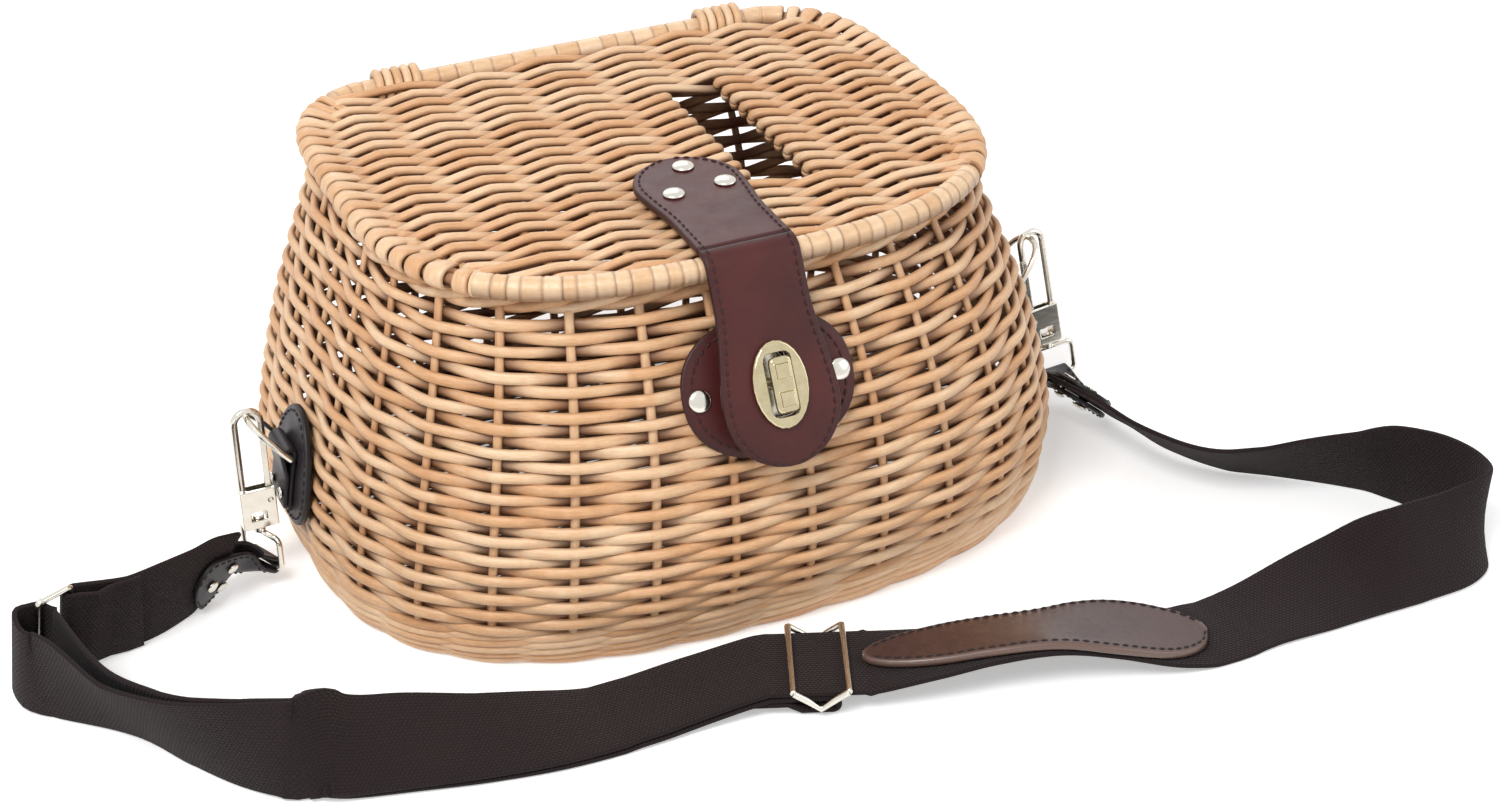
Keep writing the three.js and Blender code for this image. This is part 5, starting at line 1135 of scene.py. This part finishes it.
RIGHT_SHARES = [
    (0.131, -0.804, 0.27, 0.34, 0.93, -0.13),
    (0.2, -0.824, 0.289, 0.35, 0.9, -0.23),
    (0.286, -0.853, 0.3, 0.34, 0.9, -0.29),
    (0.378, -0.88, 0.233, 0.36, 0.92, -0.16),
    (0.469, -0.908, 0.089, 0.36, 0.93, -0.05),
    (0.533, -0.912, 0.022, 0.34, 0.94, 0),
    (0.597, -0.904, 0.044, 0.31, 0.95, 0.04),
    (0.664, -0.906, 0.122, 0.29, 0.94, 0.2),
    (0.758, -0.912, 0.233, 0.02, 0.9, 0.44),
    (0.838, -0.939, 0.422, 0.04, 0.58, 0.81),
    (0.934, -0.937, 0.456, 0.22, 0.46, 0.86),
    (0.98, -0.908, 0.478, 0.2, 0.3, 0.93),
    (0.991, -0.841, 0.489, 0.22, 0.27, 0.94),
    (0.983, -0.771, 0.489, 0.07, 0.23, 0.97),
    (0.955, -0.694, 0.478, -0.26, 0.14, 0.96),
    (0.912, -0.645, 0.467, -0.37, -0.18, 0.91),
    (0.856, -0.594, 0.433, -0.45, -0.34, 0.83),
    (0.794, -0.543, 0.378, -0.49, -0.49, 0.72),
    (0.733, -0.486, 0.367, -0.57, -0.5, 0.66),
    (0.681, -0.384, 0.411, -0.63, -0.41, 0.66),
    (0.658, -0.267, 0.433, -0.68, -0.26, 0.68),
    (0.646, -0.19, 0.4, -0.71, -0.2, 0.67),
    (0.643, -0.125, 0.355, -0.76, -0.13, 0.63),
]
RING_SHARES = (-0.944, -0.167)
RING_ALONG, RING_UP = (0.905, 0.425, 0.0), (0.1, -0.21, 0.97)
SLIDE_SHARES = (-0.009, -0.739)
SLIDE_ALONG = (0.93, -0.37, 0.0)
HOOK_REACH, STRAP_OUT, STRAP_AHEAD = 15.0, 121.0, 94.0
HOOK_X, HOOK_CROWN_Z, EYE_BAR_Z = BAR_X + HOOK_REACH, 84.0, 11.0
STRAP_SPREAD, STRAP_FRONT = HOOK_X + STRAP_OUT, BODY_FRONT + STRAP_AHEAD
HOOK_SHARE, FRONT_SHARE = 0.621872, 0.616327
HANG = {"left": (0.0, 0.0), "right": (0.11, 0.165)}
WEB_WIDTH, WEB_T, WEB_CORNER = 45.0, 2.2, 0.9
WEB_HALF = WEB_WIDTH / 2
WEB_STEP, GROUND, LAYER_GAP = 2.4, 0.25, 3.0
RING_WIRE, RING_HALF, RING_EDGE = 1.6, 8.6, 0.6
SLIDE_WIRE, SLIDE_HALF, SLIDE_TRAVEL, SLIDE_APPROACH, SLIDE_LIFT = 1.5, 12.0, 5.0, 4.0, 10.3
LAP, WEB_IN_TAB = 32.0, 26.0
BAR_TURN = RING_WIRE + RUN + SEAT + WEB_T / 2


def reached(share, own, own_share, reach):
    size = abs(share)
    inside = own * size / own_share
    beyond = own + (reach - own) * (size - own_share) / (1 - own_share)
    return math.copysign(inside if size < own_share else beyond, share)


def strap_at(x, y, z=0.0):
    out, ahead = (HOOK_X, HOOK_SHARE, STRAP_SPREAD), (BODY_FRONT, FRONT_SHARE, STRAP_FRONT)
    return np.array([reached(x, *out), reached(y, *ahead), z])


def from_shares(rows):
    return [(strap_at(x, y, z * WEB_WIDTH), unit((a, b, c))) for x, y, z, a, b, c in rows]


def catmull(points, at):
    """Centripetal curve through points, at a share of its stations"""
    n = len(points)
    spot = at * (n - 1)
    i = min(int(spot), n - 2)
    t = spot - i
    p1, p2 = points[i], points[i + 1]
    p0 = points[i - 1] if i > 0 else 2 * points[0] - points[1]
    p3 = points[i + 2] if i + 2 < n else 2 * points[-1] - points[-2]
    d0, d1, d2 = (math.sqrt(np.linalg.norm(b - a)) for a, b in ((p0, p1), (p1, p2), (p2, p3)))
    d1 = d1 if d1 > 1e-4 else 1.0
    d0 = d0 if d0 > 1e-4 else d1
    d2 = d2 if d2 > 1e-4 else d1
    m1 = ((p1 - p0) / d0 - (p2 - p0) / (d0 + d1) + (p2 - p1) / d1) * d1
    m2 = ((p2 - p1) / d1 - (p3 - p1) / (d1 + d2) + (p3 - p2) / d2) * d1
    return hermite(t, p1, m1, p2, m2)


def smooth_run(stations):
    """Stations at even steps along the curve through the given ones"""
    shares = np.linspace(0, 1, 24 * (len(stations) - 1) + 1)
    rows = [[np.asarray(row[k], float) for row in stations] for k in (0, 1)]
    p, w = (np.array([catmull(row, s) for s in shares]) for row in rows)
    run = run_length(p)
    at = np.linspace(0, run[-1], max(int(run[-1] / WEB_STEP), 1) + 1)
    return dressed(sample(at, run, p), units(sample(at, run, w)))


def dressed(p, w):
    """Place, direction across and normal along a run"""
    t = units(np.concatenate([p[1:2] - p[:1], p[2:] - p[:-2], p[-1:] - p[-2:-1]]))
    w = units(w - t * np.sum(w * t, 1)[:, None])
    return p, w, np.cross(t, w)


def grounded(run, below=0.0):
    """Run lifted where its lower edge would go under the ground"""
    for _ in range(4):
        p, w, n = run
        sink = np.abs(w[:, 2]) * WEB_HALF + np.abs(n[:, 2]) * WEB_T / 2
        under = np.maximum(n[:, 2], 0) * below
        run = dressed(p + UP * np.maximum(GROUND + sink + under - p[:, 2], 0)[:, None], w)
    return run


def between(run, start, end, count=None):
    """Part of a run from one distance to another"""
    at = run_length(run[0])
    want = np.linspace(start, end, (count or max(int((end - start) / WEB_STEP), 1)) + 1)
    return dressed(sample(want, at, run[0]), sample(want, at, run[1]))


def joined(*pieces):
    """One run from runs and lists of stations"""
    rows = [list(zip(*piece)) if isinstance(piece, list) else piece for piece in pieces]
    return dressed(*(np.concatenate([row[k] for row in rows]) for k in (0, 1)))


def backwards(run):
    return dressed(run[0][::-1], run[1][::-1])


# The adjusting ring and the slide that the webbing runs through
RING_T = unit(RING_ALONG)
RING_W = unit(np.array(RING_UP) - RING_T * float(np.dot(RING_UP, RING_T)))
RING_SIDE = np.cross(RING_T, RING_W)
RING_TALL = WEB_HALF + RING_EDGE + RING_WIRE
RING_CENTRE = strap_at(*RING_SHARES, RING_TALL * RING_W[2] + RING_WIRE + GROUND)
SLIDE_T = unit(SLIDE_ALONG)
SLIDE_W = np.array([-SLIDE_T[1], SLIDE_T[0], 0.0])
SLIDE_AT = strap_at(*SLIDE_SHARES, SLIDE_LIFT)
BAR_LIFT = WEB_T / 2 + RUN + SLIDE_WIRE
INNER_DROP = WEB_T + SEAT
CENTRE_DROP = INNER_DROP + BAR_LIFT
SLIDE_FLAT = SLIDE_HALF + SLIDE_WIRE + SLIDE_TRAVEL + RUN


def ring_bar(side):
    return RING_CENTRE + RING_T * side * RING_HALF


def at_ring(bar, along, side):
    return bar + (RING_T * along + RING_SIDE * side) * BAR_TURN, RING_W


def on_slide(s, h):
    return SLIDE_AT + SLIDE_T * s + np.array([0, 0, h]), SLIDE_W


def hang(side):
    """Turn of a hook about its crown"""
    sign = 1 if side == "right" else -1
    out, forward = HANG[side]
    z = unit((-out, forward, 1))
    x = unit(RIGHT - z * z[0])
    return np.array([sign * HOOK_X, 0, HOOK_CROWN_Z]), np.stack([x, np.cross(z, x), z], 1), sign


def eye_bar(side, following):
    crown, turn, sign = hang(side)
    p = crown + turn @ (np.array([sign * HOOK_X, 0, EYE_BAR_Z]) - crown)
    out = turn.T @ unit(following - p)
    return p, -sign * (turn @ unit((-out[1], out[0], 0)))


def strap_runs():
    left, front, right = (from_shares(rows) for rows in (LEFT_SHARES, FRONT_SHARES, RIGHT_SHARES))
    left_run = grounded(smooth_run([eye_bar("left", left[0][0]), *left, at_ring(ring_bar(1), 0, -1)]))
    off_slide = [on_slide(SLIDE_FLAT, 0), on_slide(SLIDE_FLAT + SLIDE_APPROACH, 0)]
    main_run = grounded(smooth_run([*off_slide, *right, eye_bar("right", right[-1][0])]))
    outer_bar = ring_bar(-1)
    bow = lambda along, side: (outer_bar + (RING_T * along + RING_SIDE * side) * RING_HALF, RING_W)
    outer_run = grounded(smooth_run([
        at_ring(outer_bar, 0, -1), bow(-0.9, -0.6), bow(-1.55, 0.7), bow(-1.1, 2.1), *front,
        on_slide(-SLIDE_FLAT - SLIDE_APPROACH, 0), on_slide(-SLIDE_FLAT, 0),
    ]), LAYER_GAP)
    p, w, n = outer_run
    start = int(np.argmax(p[:, 0] > front[0][0][0]))
    settle = np.clip(run_length(p[start:]) / 40.0, 0, 1)[:, None]
    inner = p[start:] - n[start:] * ((1 - settle) * (LAYER_GAP + BAR_TURN) + settle * LAYER_GAP)
    inner = list(zip(inner, w[start:]))
    to_ring = smooth_run([
        at_ring(outer_bar, math.sqrt(0.5), -math.sqrt(0.5)), at_ring(outer_bar, 1.15, 0.4),
        at_ring(outer_bar, 1.4, 2.2), *inner[:12:11],
    ])

    # sewn loop round the slide's centre bar
    loop_back, tail = -SLIDE_TRAVEL - BAR_LIFT, CENTRE_DROP + BAR_LIFT
    loop = [on_slide(s, -INNER_DROP) for s in np.linspace(loop_back, SLIDE_TRAVEL, 5)]
    for a in np.linspace(0, math.pi, 13)[1:]:
        loop.append(on_slide(SLIDE_TRAVEL + BAR_LIFT * math.sin(a), -CENTRE_DROP + BAR_LIFT * math.cos(a)))
    loop += [on_slide(s, -tail) for s in (0.0, loop_back)]
    flat = -2 * INNER_DROP - SEAT
    loop += [on_slide(s, flat) for s in np.linspace(loop_back - 2 * BAR_LIFT, loop_back - LAP, 8)]

    # short webbing round the ring's near bar, its end folded back and sewn
    near = ring_bar(1)
    length = run_length(left_run[0])[-1]
    lap_gap = WEB_T + SEAT
    half = math.sqrt(0.5)
    tail = []
    for turns, opening in ((3, 1), (4.5, 0.4), (6, 0), (8, 0), (10, 0)):
        q, v, m = (a[0] for a in between(left_run, length - turns * BAR_TURN, length, 1))
        tail.append((q - m * ((1 - opening) * lap_gap + opening * 2 * BAR_TURN), v))
    short = grounded(joined(
        between(left_run, WEB_IN_TAB, length),
        [at_ring(near, -half, -half), at_ring(near, -1, 0), at_ring(near, -half, half), at_ring(near, 0, 1)],
        tail,
    ))
    main_length = run_length(main_run[0])[-1]
    pad_end = main_length - WEB_IN_TAB
    long = grounded(joined(
        backwards(between(main_run, 0, pad_end)), backwards(outer_run), to_ring, inner[12:], loop,
    ))
    return {"left": left_run, "right": backwards(main_run), "short": short, "long": long, "pad_end": pad_end}


def make_webbing(runs):
    for name, node in (("long", "webbing_long"), ("short", "webbing_short")):
        p, w, n = runs[name]
        stations = list(zip(p, w, n, [WEB_HALF] * len(p)))
        strap(f"strap_{name}", stations, WEB_T, WEB_CORNER, WEBBING, "basket", node, "webbing")


PAD_LENGTH, PAD_HALF, PAD_THICK = 156.0, 25.0, 4.0
PAD_TAPER, PAD_TAPER_SHARE, PAD_END_POWER = 0.55, 0.625, 3.2
PAD_CORNER, PAD_SEAM = 1.7, 2.6


def pad_half(share):
    round_off = math.sqrt(max(1 - abs(2 * share - 1) ** PAD_END_POWER, 0.018))
    return PAD_HALF * (PAD_TAPER + (1 - PAD_TAPER) * min(share / PAD_TAPER_SHARE, 1)) * round_off


def make_pad(runs):
    end = runs["pad_end"] - RUN
    p, w, n = between(runs["long"], end - PAD_LENGTH, end, 110)
    share = np.linspace(1, 0, 111)
    # closer stations at the round ends
    bend = (1 - np.cos(np.pi * share)) / 2
    p, w, n = dressed(*(sample(bend, share[::-1], v[::-1]) for v in (p, w)))
    face = np.sign(n[:, 2:3])
    p = p + n * face * (WEB_T / 2 + 2 * SEAT + PAD_THICK / 2)
    halves = [pad_half(s) for s in bend]
    name, node, stations = "shoulder_pad_leather", "shoulder_pad", list(zip(p, w, n, halves))
    made = strap(name, stations, PAD_THICK, PAD_CORNER, BROWN, "basket", node, "brown_leather")
    seams = edge_paths(list(zip(p, w, n * face, halves)), PAD_SEAM, PAD_THICK / 2, 5.5)
    stitching("pad_stitches", seams, BLACK_THREAD, "basket", 4.5)


TAB_LENGTH, TAB_THICK, TAB_TONGUE, TAB_HEAD = 46.0, 2.0, 9.0, 15.0
TAB_DROP = {"left": 5.0, "right": 0.0}
EYE_WIRE, TAB_SEAM = 1.4, 2.0
TAB_GAP = EYE_WIRE + RUN + SEAT + TAB_THICK / 2
TAB_RIVETS = ((0.54, 0.45), (0.54, -0.45), (0.78, 0.0))


def tab_half(t):
    past = max(t - 0.75, 0) / 0.25
    wide = TAB_TONGUE + (TAB_HEAD - TAB_TONGUE) * float(smooth_step((t - 0.2) / 0.4))
    return wide * math.sqrt(max(1 - past**2, 0.04))


def make_tabs(runs):
    count = 46
    for side, drop in TAB_DROP.items():
        p, w, n = between(runs[side], 0, TAB_LENGTH, count)
        share = np.arange(count + 1) / count
        p = p - w * (drop * smooth_step((share - 0.2) / 0.4))[:, None]
        half = [tab_half(t) for t in share]
        d = unit(p[1] - p[0])
        stations = list(zip(p - n * TAB_GAP, w, -n, half))[::-1]
        for a in np.linspace(0, math.pi, 12)[1:-1]:
            out = -n[0] * math.cos(a) - d * math.sin(a)
            stations.append((p[0] + out * TAB_GAP, w[0], out, half[0]))
        stations += zip(p + n * TAB_GAP, w, n, half)
        name, node = f"strap_tab_leather_{side}", f"strap_tab_{side}"
        strap(name, stations, TAB_THICK, THIN_CORNER, BLACK, "basket", node, "black_leather")
        seams = []
        for face in (-1, 1):
            rows = list(zip(p, w, n * face, half))[4:]
            seams += edge_paths(rows, TAB_SEAM, TAB_GAP + TAB_THICK / 2, 4.5)
        stitching(f"tab_stitches_{side}", seams, BLACK_THREAD, "basket", 3.6, 0.7, 0.45)
        outside = -1 if side == "left" else 1
        for number, (share_at, over) in enumerate(TAB_RIVETS):
            place, across, axis = (sample([share_at], share, v)[0] for v in (p, w, n))
            axis = unit(axis) * outside
            place = place + across * over * TAB_HEAD + axis * (TAB_GAP + TAB_THICK / 2 + 2 * SEAT)
            rivet("tab", f"{side}_{number + 1}", place, axis, "basket")


strap_parts = strap_runs()
make_webbing(strap_parts)
make_pad(strap_parts)
make_tabs(strap_parts)


# White floor and world: white to the camera, and the floor keeps the shadow
def make_stage():
    world = bpy.data.worlds.new("world")
    bpy.context.scene.world = world
    world.use_nodes = True
    world.node_tree.nodes.clear()
    nodes = Nodes(world.node_tree)
    sky = nodes.node("ShaderNodeBackground", {"Color": (1.0, 0.99, 0.975), "Strength": 0.4})
    white = nodes.node("ShaderNodeBackground", {"Color": (1.0, 1.0, 1.0), "Strength": 1.0})
    both = nodes.node("ShaderNodeMixShader", {0: nodes.seen(), 1: sky, 2: white})
    nodes.feed(world.node_tree.nodes.new("ShaderNodeOutputWorld").inputs[0], both)

    half, low = 3, -0.0002
    mesh = bpy.data.meshes.new("floor")
    corners = [(-half, -half, low), (half, -half, low), (half, half, low), (-half, half, low)]
    mesh.from_pydata(corners, [], [(0, 1, 2, 3)])
    floor = linked("floor", mesh)
    m = Shader("floor_white")
    m.set(Base_Color=(0.9, 0.9, 0.9), Roughness=0.85, Specular_IOR_Level=0.2)
    m.set(Emission_Color=(1.0, 1.0, 1.0), Emission_Strength=m.seen() * 0.42)
    mesh.materials.append(m.material)


def lamp(name, place, size, power):
    data = bpy.data.lights.new(name, "AREA")
    data.shape, data.size, data.size_y = "RECTANGLE", size[0], size[1]
    data.energy = power
    made = linked(name, data)
    made.location = place
    made.rotation_euler = (Vector((0, -0.02, 0.08)) - Vector(place)).to_track_quat("-Z", "Y").to_euler()


make_stage()
lamp("key_light", (-1.1, -1.0, 2.0), (0.9, 0.9), 37)
lamp("fill_light", (1.8, -1.4, 1.2), (1.6, 1.2), 10)
lamp("back_light", (0.3, 2.0, 1.5), (1.6, 0.8), 12)

bpy.context.scene.view_settings.view_transform = "Standard"
